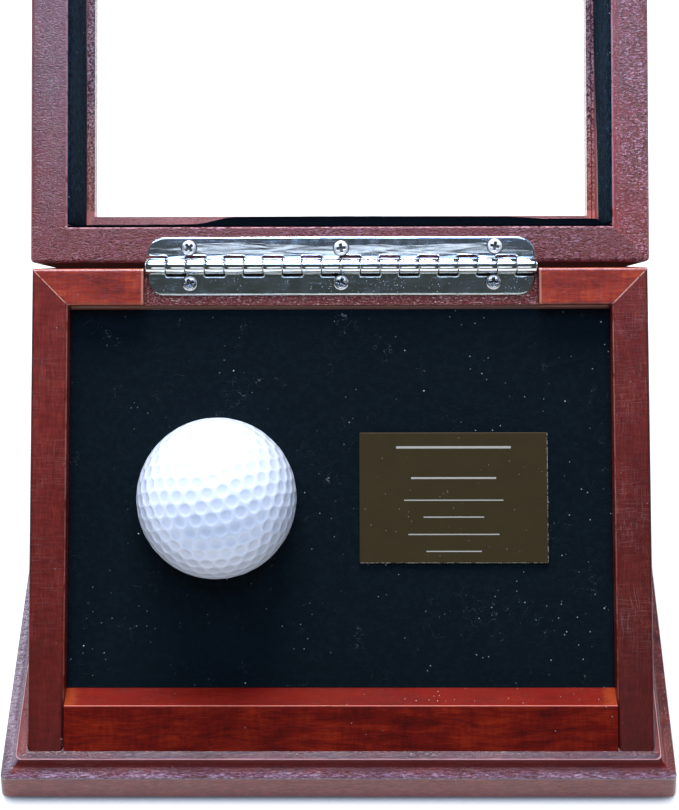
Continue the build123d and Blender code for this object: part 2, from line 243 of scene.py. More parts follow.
# ---------------------------------------------------------------- materials
def wood(name, m, along, base, dark, light, rough=0.32, leather=0.0, leather_scale=1.0, coat=0.6, coat_rough=0.22,
         grain=1.0, figure=1.0, seed=0.0, extra=None, mottle=0.0, spec=0.4, pores=1.0, torn=None, dull=None, dust_amount=0.5,
         pebble_light=0.0, pebble_highlight_col=(0.4, 0.3, 0.38), cross=0.0, cross_axis=1, shading_ramp=None, tint=None, near_tint=None, worn=None, pebble=None):
    """Stained and lacquered hardwood. along: 0, 1 or 2, the grain's axis in the frame m."""
    w = Mat(name)
    p = w.coords(m)
    p = w.vadd(p, (seed * 13.7, seed * 7.3, seed * 3.1))
    # slow wander, so no streak is ruled straight
    wander = w.noise(p, 0.045, 2.0, 0.5, color=True)
    q = w.vadd(p, w.vscale(w.vadd(wander, (-0.5, -0.5, -0.5)), 5.0))
    long = [1.0, 1.0, 1.0]
    long[along] = 0.055
    fine = w.noise(w.stretch(q, [2.6 * s for s in long]), 1.0, 4.0, 0.62)
    long2 = [1.0, 1.0, 1.0]
    long2[along] = 0.16
    bands = w.noise(w.stretch(q, [0.42 * s for s in long2]), 1.0, 3.0, 0.55, dist=0.5)
    cloud = w.noise(p, 0.075, 3.0, 0.55)
    curl = w.noise(w.stretch(p, [0.9 if i == along else 0.22 for i in range(3)]), 1.0, 2.0, 0.5)
    tone = w.add(w.mul(w.sub(bands, 0.5), 1.1 * figure), w.mul(w.sub(fine, 0.5), 0.9 * grain))
    tone = w.add(tone, w.mul(w.sub(cloud, 0.5), 1.0 * figure))
    tone = w.add(tone, w.mul(w.sub(curl, 0.5), 0.45 * figure + mottle))
    tone = w.add(tone, 0.5)
    col = w.ramp(tone, [(0.12, dark), (0.5, base), (0.88, light)])
    # pores: short dark dashes with the grain
    por_s = [5.5, 5.5, 5.5]
    por_s[along] = 0.55
    por = w.noise(w.stretch(q, por_s), 1.0, 1.0, 0.5)
    por = w.ramp01(por, 0.60, 0.70)
    col = w.mix(w.mul(por, 0.33 * pores), col, (dark[0] * 0.45, dark[1] * 0.4, dark[2] * 0.4))
    # dust in the lacquer
    dust = w.voronoi(p, 0.28, rand=1.0)
    dust = w.sub(1.0, w.ramp01(dust, 0.025, 0.05))
    col = w.mix(w.mul(dust, dust_amount), col, (0.55, 0.5, 0.47))
    if extra:
        col = extra(w, p, col, w.coords(m))
    c0 = w.coords(m)
    if shading_ramp:
        # painted shade: the colour deepens and warms towards the foot, or towards the hinge on the lid, where less
        # sheen falls: (axis, from, to, colour factor at the foot)
        o = w.sep(c0)
        k = w.ramp01(o[shading_ramp[0]], shading_ramp[1], shading_ramp[2], smooth=False)
        col = w.mix(k, w.mix(1.0, col, shading_ramp[3], "MULTIPLY"), col)
    height = w.add(w.mul(fine, 0.25), w.mul(por, -0.35))
    nrm = w.bump(height, 0.00004, 0.6)
    if cross:
        # plane marks across the board and faint lines along it, seen in the lacquer
        sc = [0.16, 0.16, 0.16]
        sc[cross_axis] = 3.8
        p2 = w.vadd(p, w.vscale(w.vadd(wander, (-0.5, -0.5, -0.5)), 1.2))
        lines = w.noise(w.stretch(p2, sc), 1.0, 3.0, 0.65)
        sc2 = [2.6, 2.6, 2.6]
        sc2[cross_axis] = 0.16
        lines2 = w.noise(w.stretch(q, sc2), 1.0, 2.0, 0.6)
        lk = w.add(w.ramp01(lines, 0.53, 0.68), w.mul(w.ramp01(lines2, 0.54, 0.68), 0.7))
        patch = w.ramp01(w.noise(p, 0.06, 2.0, 0.5), 0.36, 0.6)
        lk = w.mul(lk, patch)
        if shading_ramp:
            lk = w.mul(lk, w.ramp01(w.sep(c0)[shading_ramp[0]], 14.0, 45.0))
        col = w.mix(w.mul(lk, 0.30 * cross), col, (0.36, 0.17, 0.15))
        dk = w.mul(w.ramp01(lines, 0.30, 0.42), 1.0)
        col = w.mix(w.mul(w.sub(1.0, dk), 0.30 * cross), col, (dark[0] * 0.5, dark[1] * 0.45, dark[2] * 0.5))
        nrm = w.bump(w.add(lines, lines2), 0.00006 * cross, 1.0, nrm)
    rough_s = rough
    if leather:
        lv = w.stretch(w.vadd(p, w.vscale(w.vadd(wander, (-0.5, -0.5, -0.5)), 3.0)), [leather_scale] * 3)
        lv = w.stretch(lv, (0.78, 1.75, 1.3))
        a = w.noise(lv, 1.0, 2.0, 0.6, dist=0.7)
        b = w.noise(lv, 0.3, 2.0, 0.5)
        amp = w.rng(w.noise(p, 0.05, 2.0, 0.5), 0.35, 0.6, 0.45, 1.0)
        if pebble:
            amp = w.mul(amp, pebble(w, w.coords(m)))
        crinkle = w.math("ABSOLUTE", w.sub(a, 0.5))
        hgt = w.mul(w.add(w.mul(a, 1.0), w.mul(crinkle, -0.9)), amp)
        nrm = w.bump(hgt, 0.00060 * leather, 1.0, nrm)
        # painted light on the crazing: pale highlights on its raised cells, painted shade in its hollows
        if pebble_light:
            hi = w.mul(w.ramp01(a, 0.52, 0.66), amp)
            lo_ = w.mul(w.sub(1.0, w.ramp01(a, 0.34, 0.45)), amp)
            col = w.mix(w.mul(hi, pebble_light), col, pebble_highlight_col)
            col = w.mix(w.mul(lo_, min(pebble_light * 1.9, 0.9)), col, (dark[0] * 0.45, dark[1] * 0.4, dark[2] * 0.45))
    if torn:
        mask = torn(w, w.coords(m))
        tn = w.noise(w.stretch(p, (0.8, 1.6, 1.6)), 1.0, 4.0, 0.7, dist=0.8)
        nrm = w.bump(w.mul(tn, mask), 0.0012, 1.0, nrm)
    wav = w.noise(p, 0.11, 1.0, 0.5)
    nrm_c = w.bump(wav, 0.0003, 0.5, nrm)
    if dull:
        k = dull(w, w.coords(m))
        # painted shade: the seam's colour is the wood darkened
        seam_shade_col = w.mix(1.0, col, (0.46, 0.46, 0.50), "MULTIPLY")
    kw = dict(Specular_Tint=tint) if tint else {}
    if near_tint:
        # the sheen is warmer towards the hinge: (colour there, from, to)
        near = w.ramp01(w.sep(c0)[1], near_tint[1], near_tint[2], smooth=False)
        kw["Specular_Tint"] = w.mix(near, near_tint[0], tint)
    coat_w = w.mul(w.sub(1.0, worn(w, w.coords(m))), coat) if worn else coat
    b = w.principled(Base_Color=col, Roughness=rough_s, IOR=1.5, Specular_IOR_Level=spec, **kw,
                     Coat_Weight=coat_w, Coat_Roughness=coat_rough, Coat_IOR=1.5, Normal=nrm_c, Coat_Normal=nrm_c)
    if dull:
        # painted shade on the faces that close on each other: darkened, with no lacquer, and given a faint red glow
        seam_shade_bsdf = w.principled(Base_Color=seam_shade_col, Roughness=0.85, Specular_IOR_Level=0.0, Normal=nrm,
                            Emission_Color=(0.030, 0.009, 0.008), Emission_Strength=0.6)
        mx = w.node("ShaderNodeMixShader")
        w.put(mx.inputs[0], k)
        w.put(mx.inputs[1], b.outputs[0])
        w.put(mx.inputs[2], seam_shade_bsdf.outputs[0])
        return w.finish(mx.outputs[0])
    return w.finish(b.outputs[0])


def near_line(w, v, at, half, soft=0.5):
    """1 within half of at, falling to 0"""
    d = w.math("ABSOLUTE", w.sub(v, at))
    return w.sub(1.0, w.ramp01(d, half * (1 - soft), half * (1 + soft)))


def mitre_pale(x0, s0, slope_x, slope_s, width=0.16, tint=(0.62, 0.36, 0.28)):
    """a pale chipped line where the lacquer broke along a mitre through (x0, s0)"""
    ln = math.hypot(slope_x, slope_s)
    nx, ns = slope_s / ln, -slope_x / ln

    def f(w, p, col, c):
        o = w.sep(c)
        ax = w.math("ABSOLUTE", o[0])
        d = w.add(w.mul(w.sub(ax, x0), nx), w.mul(w.sub(o[1], s0), ns))
        d = w.math("ABSOLUTE", d)
        brk = w.noise(c, 0.9, 2.0, 0.6)
        line = w.sub(1.0, w.ramp01(d, width * 0.45, width))
        line = both(w, line, w.ramp01(brk, 0.36, 0.5), above(w, o[2], -1.5, 0.3))
        return w.mix(w.mul(line, 0.85), col, tint)
    return f


def above(w, v, edge, soft=0.1):
    return w.ramp01(v, edge - soft, edge + soft)


def below(w, v, edge, soft=0.1):
    return w.sub(1.0, above(w, v, edge, soft))


def both(w, *v):
    out = v[0]
    for x in v[1:]:
        out = w.mul(out, x)
    return out


def stile_marks(side):
    def f(w, p, col, c):
        """the mitre's broken line, a painted highlight on the inner arris, and the dark patch beside the front rail"""
        col = mitre_pale(82.8, 127.5, 9.7, 9.8, width=0.13 if side < 0 else 0.24)(w, p, col, c)
        o = w.sep(c)
        ax = w.math("ABSOLUTE", o[0])
        face_only = above(w, o[2], -1.2, 0.3)
        # a darker patch on the stile beside the front rail's end
        n1 = w.noise(w.stretch(c, (1.6, 0.35, 1.0)), 1.0, 3.0, 0.6)
        edge = w.add(ax, w.mul(w.sub(n1, 0.5), -1.7 if side < 0 else -0.9))
        rail_end_dark_patch = both(w, below(w, edge, 73.9 if side < 0 else 73.5, 0.6), below(w, o[1], 12.4, 1.4), face_only)
        col = w.mix(w.mul(rail_end_dark_patch, 0.72), col, (0.020, 0.007, 0.010))
        if side < 0:
            n2 = w.noise(c, 2.3, 2.0, 0.6)
            chip = both(w, below(w, ax, 74.0, 0.2), above(w, n2, 0.60, 0.02), near_line(w, o[1], 2.6, 1.1, 0.4), face_only)
            col = w.mix(w.mul(chip, 0.9), col, (0.62, 0.50, 0.48))
        # painted highlight on the inner arris: a thin pale line, broken here and there
        inner_arris_highlight = both(w, near_line(w, ax, 73.25, 0.16, 0.8), above(w, o[2], -0.7, 0.25), above(w, o[1], 13.4, 0.5))
        br = w.ramp01(w.noise(w.stretch(c, (0.3, 0.15, 0.3)), 1.0, 3.0, 0.6), 0.38, 0.52)
        col = w.mix(w.mul(w.mul(inner_arris_highlight, br), 0.75), col, (0.44, 0.20, 0.17))
        # and a darker outer edge
        oe = both(w, above(w, ax, 82.2, 0.18), above(w, o[2], -1.0, 0.3), above(w, o[1], 40.0, 12.0))
        return w.mix(w.mul(oe, 0.8), col, (0.016, 0.005, 0.008))
    return f


def top_marks(w, p, col, c):
    col = mitre_pale(82.8, 127.5, 9.7, 9.8)(w, p, col, c)
    o = w.sep(c)
    dx = w.math("ABSOLUTE", w.sub(o[0], 0.4))
    # painted highlight: a pale line on the rail's ends beside the mortise
    ends = both(w, near_line(w, dx, 53.45, 0.28, 0.8), above(w, o[2], -0.5, 0.2))
    col = w.mix(w.mul(ends, 0.7), col, (0.50, 0.22, 0.15))
    inside = both(w, below(w, dx, 53.2, 0.05), below(w, o[2], -2.6, 0.3), above(w, o[2], -4.4, 0.3), below(w, o[1], 127.9, 0.1))
    # raw torn wood under the mortise; the palest stop of its colour is painted glints
    raw = w.noise(w.stretch(c, (1.3, 3.2, 3.2)), 1.0, 3.0, 0.7, dist=0.8)
    raw_wood_and_glint_col = w.ramp(raw, [(0.34, lin(70, 14, 16)), (0.48, lin(130, 34, 32)), (0.57, lin(160, 58, 50)), (0.65, lin(240, 214, 204))])
    col = w.mix(inside, col, raw_wood_and_glint_col)
    shade = w.mul(inside, above(w, o[1], 125.0, 0.25))
    return w.mix(w.mul(shade, 0.95), col, (0.004, 0.002, 0.002))


def top_torn(w, c):
    o = w.sep(c)
    dx = w.math("ABSOLUTE", w.sub(o[0], 0.4))
    return both(w, below(w, dx, 53.2, 0.05), below(w, o[2], -2.6, 0.3), above(w, o[2], -4.4, 0.3))


def top_seam_shade(w, c):
    # painted shade on the top rail's end face, in the seam under the lid
    o = w.sep(c)
    return above(w, o[1], 127.9, 0.12)


def front_marks(w, p, col, c):
    """the front rail: a painted highlight on the arris, warmer worn ends on the ledge"""
    o = w.sep(c)
    ax = w.math("ABSOLUTE", o[0])
    ledge = below(w, o[2], -0.25, 0.12)
    warm = w.ramp01(w.noise(w.stretch(c, (0.12, 0.5, 0.5)), 1.0, 3.0, 0.6), 0.35, 0.65)
    col = w.mix(w.mul(ledge, w.rng(warm, 0.0, 1.0, 0.45, 0.85)), col, lin(108, 14, 6))
    n = w.noise(w.stretch(c, (0.5, 1.0, 1.0)), 1.0, 2.0, 0.5)
    end = both(w, above(w, w.add(ax, w.mul(w.sub(n, 0.5), 3.0)), 70.3, 1.6), ledge)
    col = w.mix(w.mul(end, 0.75), col, lin(140, 52, 18))
    # painted highlight along the arris: a thin pale line, broken here and there
    pale = w.mul(near_line(w, o[2], -0.14, 0.10, 0.5), above(w, o[1], 11.5, 0.5))
    pb = w.ramp01(w.noise(w.stretch(c, (0.12, 0.5, 0.5)), 1.0, 3.0, 0.6), 0.25, 0.4)
    col = w.mix(w.mul(w.mul(pale, pb), 0.75), col, lin(212, 114, 98))
    sp = w.sub(1.0, w.ramp01(w.voronoi(c, 0.62), 0.05, 0.10))
    sp = w.mul(sp, w.ramp01(w.add(w.noise(c, 0.09, 2.0, 0.5), w.mul(o[0], 0.0022)), 0.44, 0.56))
    col = w.mix(w.mul(w.mul(sp, ledge), 0.75), col, (0.7, 0.6, 0.5))
    return col


def front_arris(w, c):
    o = w.sep(c)
    return w.mul(near_line(w, o[2], -0.2, 0.2, 0.5), 0.05)


def base_marks(w, p, col, c):
    """painted highlight on the arris where the cove starts, painted shade on the steep of the cove, a dull edge face"""
    o = w.sep(c)
    flat = above(w, o[2], 16.96, 0.03)
    beside = both(w, flat, above(w, w.math("ABSOLUTE", o[0]), 82.95, 0.05), above(w, o[1], -67.5, 1.0))
    fm = w.ramp01(w.noise(w.stretch(c, (0.08, 0.4, 0.4)), 1.0, 2.0, 0.5), 0.35, 0.6)
    col = w.mix(w.mul(flat, w.rng(fm, 0.0, 1.0, 0.55, 0.85)), col, lin(44, 14, 26))
    col = w.mix(w.mul(beside, 0.9), col, lin(112, 50, 46))
    # painted highlight: a pale line on the arris where the cove starts
    arris = w.mul(near_line(w, o[2], 16.80, 0.12, 0.5), 1.0)
    col = w.mix(w.mul(arris, 0.9), col, (0.84, 0.44, 0.44))
    # painted shade on the steep of the cove
    steep = both(w, below(w, o[2], 16.55, 0.1), above(w, o[2], 14.9, 0.5))
    col = w.mix(w.mul(steep, 0.85), col, lin(98, 13, 7))
    # painted sheen: the left-hand cove is painted the grey of a reflection, with fine lines across it
    past = above(w, w.sub(o[1], o[0]), 16.1, 0.12)
    left_cove_sheen = both(w, below(w, o[0], -84.3, 0.35), above(w, o[2], 13.15, 0.15), below(w, o[2], 16.75, 0.1), past)
    hatch = w.noise(w.stretch(c, (0.6, 3.4, 0.6)), 1.0, 3.0, 0.6, dist=0.3)
    left_cove_sheen_col = w.ramp(hatch, [(0.34, lin(76, 56, 66)), (0.48, lin(110, 92, 104)), (0.64, lin(138, 124, 136))])
    col = w.mix(w.mul(left_cove_sheen, 0.85), col, left_cove_sheen_col)
    # painted sheen: purple-white glints along the foot of the front cove
    cove_foot_sheen_n = w.noise(w.stretch(c, (0.62, 2.6, 2.6)), 1.0, 3.0, 0.62, dist=0.4)
    cove_foot_sheen_n = w.add(cove_foot_sheen_n, w.mul(w.sub(w.noise(c, 0.12, 2.0, 0.5), 0.5), 0.30))
    cove_foot_sheen_col = w.ramp(cove_foot_sheen_n, [(0.34, lin(76, 28, 34)), (0.48, lin(114, 74, 96)), (0.58, lin(154, 120, 148)), (0.72, lin(212, 190, 210))])
    cove_foot_sheen = both(w, near_line(w, o[2], 13.70, 0.48, 0.8), below(w, o[1], -60.0, 4.0), below(w, w.add(o[1], w.math("ABSOLUTE", o[0])), 16.1, 0.12))
    col = w.mix(w.mul(cove_foot_sheen, 0.8), col, cove_foot_sheen_col)
    edge = near_line(w, o[2], 13.35, 0.3, 0.6)
    eb = w.ramp01(w.noise(c, 0.12, 2.0, 0.5), 0.38, 0.55)
    col = w.mix(w.mul(w.mul(edge, eb), 0.6), col, lin(80, 20, 18))
    face = below(w, o[2], 13.0, 0.15)
    mott = w.noise(w.stretch(c, (0.5, 0.5, 0.9)), 1.0, 3.0, 0.6)
    fc = w.ramp(mott, [(0.3, lin(94, 28, 20)), (0.5, lin(115, 38, 28)), (0.72, lin(138, 60, 50))])
    col = w.mix(w.mul(face, 0.8), col, fc)
    foot = below(w, o[2], 1.55, 0.2)
    return w.mix(w.mul(foot, 0.5), col, lin(196, 150, 140))


def base_worn(w, c):
    """lacquer rubbed thin: on the steep of the front cove and on the flat beside the case"""
    o = w.sep(c)
    ax = w.math("ABSOLUTE", o[0])
    side = both(w, above(w, ax, 84.2, 0.3), above(w, w.add(o[1], ax), 16.1, 0.15))
    steep = both(w, below(w, o[2], 16.6, 0.1), above(w, o[2], 14.5, 0.5), w.sub(1.0, side))
    flat = both(w, above(w, o[2], 16.9, 0.05), above(w, ax, 82.95, 0.05), above(w, o[1], -67.5, 1.0))
    rest = w.mul(both(w, w.sub(1.0, side), w.sub(1.0, near_line(w, o[2], 13.9, 0.8, 0.4))), 0.42)
    face = w.mul(below(w, o[2], 12.9, 0.15), 0.7)
    return w.math("MAXIMUM", w.math("MAXIMUM", rest, face), w.math("MAXIMUM", w.mul(steep, 0.88), w.mul(flat, 0.76)))


def base_torn(w, c):
    """the foot of the cove was never sanded smooth"""
    o = w.sep(c)
    low = both(w, near_line(w, o[2], 13.75, 0.75, 0.5), below(w, o[1], -60.0, 4.0))
    return w.mul(low, 0.6)


def pebble_mid(w, c):
    """crazing is strongest down the middle of the rails and dies out at their edges"""
    o = w.sep(c)
    ax = w.math("ABSOLUTE", o[0])
    mid = near_line(w, ax, 78.2, 3.6, 0.7)
    rail = w.math("MAXIMUM", below(w, ax, 73.6, 0.4), below(w, o[1], 10.8, 0.4))
    k = w.add(0.12, w.mul(w.math("MAXIMUM", mid, rail), 0.88))
    return w.mul(k, w.rng(o[2], -4.2, -3.2, 0.28, 1.0))


def pebble_right(w, c):
    o = w.sep(c)
    k = w.add(0.15, w.mul(w.ramp01(o[0], 74.6, 76.6), 0.85))
    return w.mul(k, w.rng(o[2], -4.2, -3.2, 0.25, 1.0))


def worn_edge(w, c):
    """no lacquer left on the outer arris"""
    o = w.sep(c)
    ax = w.math("ABSOLUTE", o[0])
    return w.mul(both(w, above(w, ax, 82.25, 0.15), above(w, o[2], -1.1, 0.3)), 0.95)


def lid_marks(w, p, col, c):
    """painted light on the lip under the glass, painted shade under the knuckles, and a painted highlight on the arris
    round the rim
    """
    o = w.sep(c)
    ax = w.math("ABSOLUTE", o[0])
    # painted light: the lip under the glass lies in the lid's shade and is painted paler and warmer, with darker
    # patches towards its inner edge
    lip = both(w, below(w, o[2], -35.4, 0.2), above(w, o[2], -40.5, 0.2), below(w, ax, 75.5, 0.1), above(w, o[1], 9.0, 0.1), below(w, o[1], 119.3, 0.1))
    fine = w.noise(c, 1.7, 3.0, 0.7)
    tone = w.ramp(fine, [(0.41, lin(46, 12, 18)), (0.47, lin(190, 104, 110)), (0.54, lin(240, 178, 178)), (0.61, lin(255, 240, 236))])
    warm = below(w, o[1], 30.0, 22.0)
    tone = w.mix(w.mul(warm, 0.6), tone, lin(196, 112, 84))
    inner = both(w, below(w, ax, 71.9, 0.25), above(w, w.noise(c, 0.9, 2.0, 0.6), 0.45, 0.1))
    tone = w.mix(w.mul(inner, 0.55), tone, lin(60, 44, 62))
    tone = w.mix(w.mul(below(w, o[1], 16.5, 0.6), 0.7), tone, (1.0, 0.46, 0.44))
    tone = w.mix(1.0, tone, (1.22, 1.14, 1.10), "MULTIPLY")
    col = w.mix(lip, col, tone)
    # painted shade under the knuckles
    under = both(w, below(w, o[1], 3.2, 0.2), below(w, w.math("ABSOLUTE", w.sub(o[0], 0.4)), 52.45, 0.05), below(w, o[2], -2.3, 0.1), above(w, o[2], -4.4, 0.3))
    col = w.mix(w.mul(under, 0.95), col, (0.004, 0.002, 0.002))
    # painted highlight on the arris round the rim, broken here and there
    rim_highlight_x = near_line(w, ax, 73.95, 0.28, 0.9)
    in_y = both(w, above(w, o[1], 10.2, 0.3), below(w, o[1], 118.0, 0.3))
    rim_highlight_y = w.mul(near_line(w, o[1], 10.45, 0.28, 0.9), below(w, ax, 74.1, 0.2))
    ring = w.math("MAXIMUM", w.mul(rim_highlight_x, in_y), rim_highlight_y)
    ring = w.mul(ring, above(w, o[2], -2.9, 0.3))
    brk = w.ramp01(w.noise(c, 0.4, 2.0, 0.6), 0.3, 0.5)
    return w.mix(w.mul(w.mul(ring, brk), 0.6), col, lin(196, 140, 150))


def lid_lip_right(w, p, col, c):
    col = lid_marks(w, p, col, c)
    o = w.sep(c)
    col = w.mix(w.mul(below(w, o[2], -35.4, 0.2), below(w, o[0], 75.5, 0.1)), col, w.mix(1.0, col, (1.06, 0.95, 0.90), "MULTIPLY"))
    wob = w.mul(w.sub(w.noise(c, 0.15, 2.0, 0.5), 0.5), 0.5)
    ln = w.mul(near_line(w, w.add(o[0], wob), 73.0, 0.16, 0.6), below(w, o[2], -35.4, 0.2))
    return w.mix(w.mul(ln, 0.85), col, lin(90, 20, 16))


def lid_seam_shade(w, c):
    # painted shade on the lid's outer wall by the hinge, in the seam
    o = w.sep(c)
    return w.mul(below(w, o[1], 1.08, 0.04), below(w, o[2], -5.2, 0.4))


D = dict(
    rail=(lin(142, 44, 28), lin(98, 26, 18), lin(182, 74, 40)),
    front=(lin(94, 17, 10), lin(62, 11, 8), lin(124, 32, 14)),
    stile=(lin(112, 36, 30), lin(82, 24, 21), lin(138, 54, 42)),
    lid=(lin(104, 38, 43), lin(76, 25, 30), lin(126, 54, 57)),
    base=(lin(98, 34, 30), lin(70, 22, 22), lin(124, 52, 42)),
)

# painted shade at the foot of the stiles
FOOT_SHADE = (0.57, 0.34, 0.30)
m_stile_l = wood("mahogany_stile_left", FACE, 1, *D["stile"], mottle=0.35, figure=0.4, grain=1.0, seed=1.0, worn=worn_edge, coat=0.3, coat_rough=0.3, spec=0.2,
                 extra=stile_marks(-1), cross=0.45, shading_ramp=(1, 0.0, 120.0, FOOT_SHADE))
m_stile_r = wood("mahogany_stile_right", FACE, 1, lin(106, 34, 28), lin(76, 22, 19), lin(132, 50, 39), mottle=0.2, figure=0.35, grain=1.0, seed=2.0, worn=worn_edge, coat=0.3, coat_rough=0.3, spec=0.2,
                 extra=stile_marks(1), cross=1.1, shading_ramp=(1, 0.0, 120.0, (0.48, 0.27, 0.24)))
m_top = wood("mahogany_top_rail", FACE, 0, *D["rail"], seed=3.0, coat=0.6, coat_rough=0.18, extra=top_marks, torn=top_torn, dull=top_seam_shade)
m_front = wood("mahogany_front_rail", FACE, 0, *D["front"], seed=4.0, coat=0.10, coat_rough=0.12, spec=0.04, rough=0.4, extra=front_marks, torn=front_arris)
m_base = wood("mahogany_base", FLAT, 0, *D["base"], seed=5.0, leather=0.35, leather_scale=0.9, coat=1.0, coat_rough=0.17, spec=0.15, rough=0.5,
              tint=(0.95, 0.74, 0.86), extra=base_marks, cross=0.35, cross_axis=1, worn=base_worn, torn=base_torn)
# colour of the painted highlights on the lid's crazing
PEBBLE_HIGHLIGHT_LAV = lin(206, 164, 184)
WARM = ((0.62, 0.28, 0.26), 2.0, 50.0)
# painted shade: the lid is painted redder towards the hinge, where it takes less sheen
NEAR_HINGE_SHADE = (1.08, 0.86, 0.79)
m_lid_x = wood("mahogany_lid_rails", LID, 0, *D["lid"], seed=6.0, figure=0.35, leather=2.3, leather_scale=1.35, coat=0.85, coat_rough=0.34, spec=0.74, rough=0.45, tint=(0.6, 0.72, 1.0), near_tint=WARM, extra=lid_marks, dull=lid_seam_shade,
               pebble=pebble_mid, pebble_light=0.42, pebble_highlight_col=PEBBLE_HIGHLIGHT_LAV, shading_ramp=(1, 2.0, 22.0, NEAR_HINGE_SHADE))
m_lid_y = wood("mahogany_lid_stiles", LID, 1, *D["lid"], seed=7.0, figure=0.35, leather=1.6, leather_scale=1.45, coat=0.85, coat_rough=0.34, spec=0.78, rough=0.45, tint=(0.55, 0.76, 1.0), near_tint=WARM, extra=lid_marks,
               pebble=pebble_mid, pebble_light=0.40, pebble_highlight_col=PEBBLE_HIGHLIGHT_LAV, shading_ramp=(1, 2.0, 50.0, NEAR_HINGE_SHADE))
m_lid_r = wood("mahogany_lid_stile_right", LID, 1, lin(128, 42, 40), lin(92, 27, 28), lin(150, 58, 54), seed=7.5, figure=0.35, leather=3.4, leather_scale=1.45, coat=0.95, coat_rough=0.27, spec=0.76, rough=0.40, tint=(0.62, 0.70, 0.92), near_tint=WARM, extra=lid_lip_right,
               pebble=pebble_right, pebble_light=0.7, pebble_highlight_col=PEBBLE_HIGHLIGHT_LAV, shading_ramp=(1, 2.0, 50.0, NEAR_HINGE_SHADE))


def painted_light_strip(w, p, col, c):
    o = w.sep(c)
    # painted light on the top strip of the display board, which lies in shade under the top rail
    return w.mix(above(w, o[1], 115.5, 0.4), col, lin(246, 196, 180))


m_display = wood("sawn_display_board", FACE, 0, lin(150, 112, 78), lin(120, 86, 56), lin(176, 138, 100), seed=8.0, coat=0.0, rough=0.7, spec=0.2, extra=painted_light_strip)
m_plain = wood("sawn_cleat", FACE, 1, lin(150, 112, 78), lin(120, 86, 56), lin(176, 138, 100), seed=8.5, coat=0.0, rough=0.7, spec=0.2)
m_back = wood("mahogany_back_board", FLAT, 0, lin(104, 40, 34), lin(74, 26, 23), lin(132, 58, 46), seed=9.0, figure=0.7, coat=0.25, coat_rough=0.3, rough=0.5, spec=0.25)


def velvet_mat(name, m, seed=0.0, lint=1.0, base=(0.0031, 0.0068, 0.0097), gloss=0.05, sheen=0.03, nap_k=0.3, nap_x=2.0):
    w = Mat(name)
    p = w.vadd(w.coords(m), (seed * 11.0, seed * 5.0, 0))
    pile = w.noise(p, 3.2, 3.0, 0.7)
    patch = w.noise(p, 0.06, 2.0, 0.5)
    col = w.mix(patch, base, (base[0] * 1.5, base[1] * 1.35, base[2] * 1.3))
    col = w.mix(w.mul(pile, 0.6), col, (base[0] * 0.4, base[1] * 0.5, base[2] * 0.55))
    nap = w.ramp01(w.noise(p, 0.7, 3.0, 0.6), 0.44, 0.62)
    col = w.mix(w.mul(nap, nap_k), col, (base[0] * nap_x, base[1] * nap_x, base[2] * nap_x))
    v = w.voronoi(p, 0.42)
    spot = w.sub(1.0, w.ramp01(v, 0.045, 0.085))
    den = w.noise(p, 0.05, 1.0, 0.5)
    pick = w.ramp01(den, 0.40, 0.58)
    o = w.sep(w.coords(m))
    side = w.rng(o[0], -60.0, 60.0, 0.45, 1.0)
    col = w.mix(w.mul(w.mul(w.mul(spot, pick), side), 0.85 * lint), col, (0.42, 0.47, 0.48))
    v2 = w.voronoi(w.vadd(p, (31.0, 17.0, 5.0)), 0.16)
    big = w.sub(1.0, w.ramp01(v2, 0.022, 0.036))
    col = w.mix(w.mul(big, 0.9 * lint), col, (0.62, 0.66, 0.66))
    # stray fibres
    fq = w.vadd(p, w.vscale(w.vadd(w.noise(p, 0.35, 2.0, 0.5, color=True), (-0.5, -0.5, -0.5)), 5.0))
    fib = w.math("ABSOLUTE", w.sub(w.noise(fq, 0.25, 1.0, 0.5), 0.5))
    fib = w.sub(1.0, w.ramp01(fib, 0.0, 0.0022))
    fsel = w.ramp01(w.noise(w.vadd(p, (9.0, 3.0, 1.0)), 0.13, 1.0, 0.5), 0.60, 0.66)
    col = w.mix(w.mul(w.mul(fib, fsel), 0.4 * lint), col, (0.3, 0.34, 0.36))
    nrm = w.bump(pile, 0.0003, 0.8)
    b = w.principled(Base_Color=col, Roughness=0.95, Specular_IOR_Level=gloss, Sheen_Weight=sheen, Sheen_Roughness=0.45,
                     Sheen_Tint=(0.35, 0.6, 0.8), Normal=nrm)
    return w.finish(b.outputs[0])


m_velvet = velvet_mat("velvet_black", FACE, 1.0)
# painted shade: a darker copy of the lining for the hinge-side strip, which faces the lamps
m_lining_shaded = velvet_mat("velvet_lining_hinge_shaded", LID, 3.0, lint=0.25, base=(0.0010, 0.0018, 0.0034), gloss=0.0, sheen=0.008)
m_lining = velvet_mat("velvet_lining", LID, 2.0, lint=1.6, base=(0.0026, 0.0078, 0.0145), gloss=0.02, sheen=0.02, nap_k=0.8, nap_x=4.0)


def felt_mat():
    w = Mat("felt_green")
    p = w.coords(FLAT)
    f = w.noise(p, 1.4, 4.0, 0.75, dist=1.0)
    g = w.noise(p, 0.2, 2.0, 0.5)
    col = w.mix(f, lin(24, 52, 40), lin(58, 96, 76))
    col = w.mix(w.mul(g, 0.3), col, lin(34, 62, 50))
    b = w.principled(Base_Color=col, Roughness=0.97, Specular_IOR_Level=0.05, Sheen_Weight=0.2, Sheen_Roughness=0.6, Normal=w.bump(f, 0.0004, 0.8))
    return w.finish(b.outputs[0])


m_felt = felt_mat()


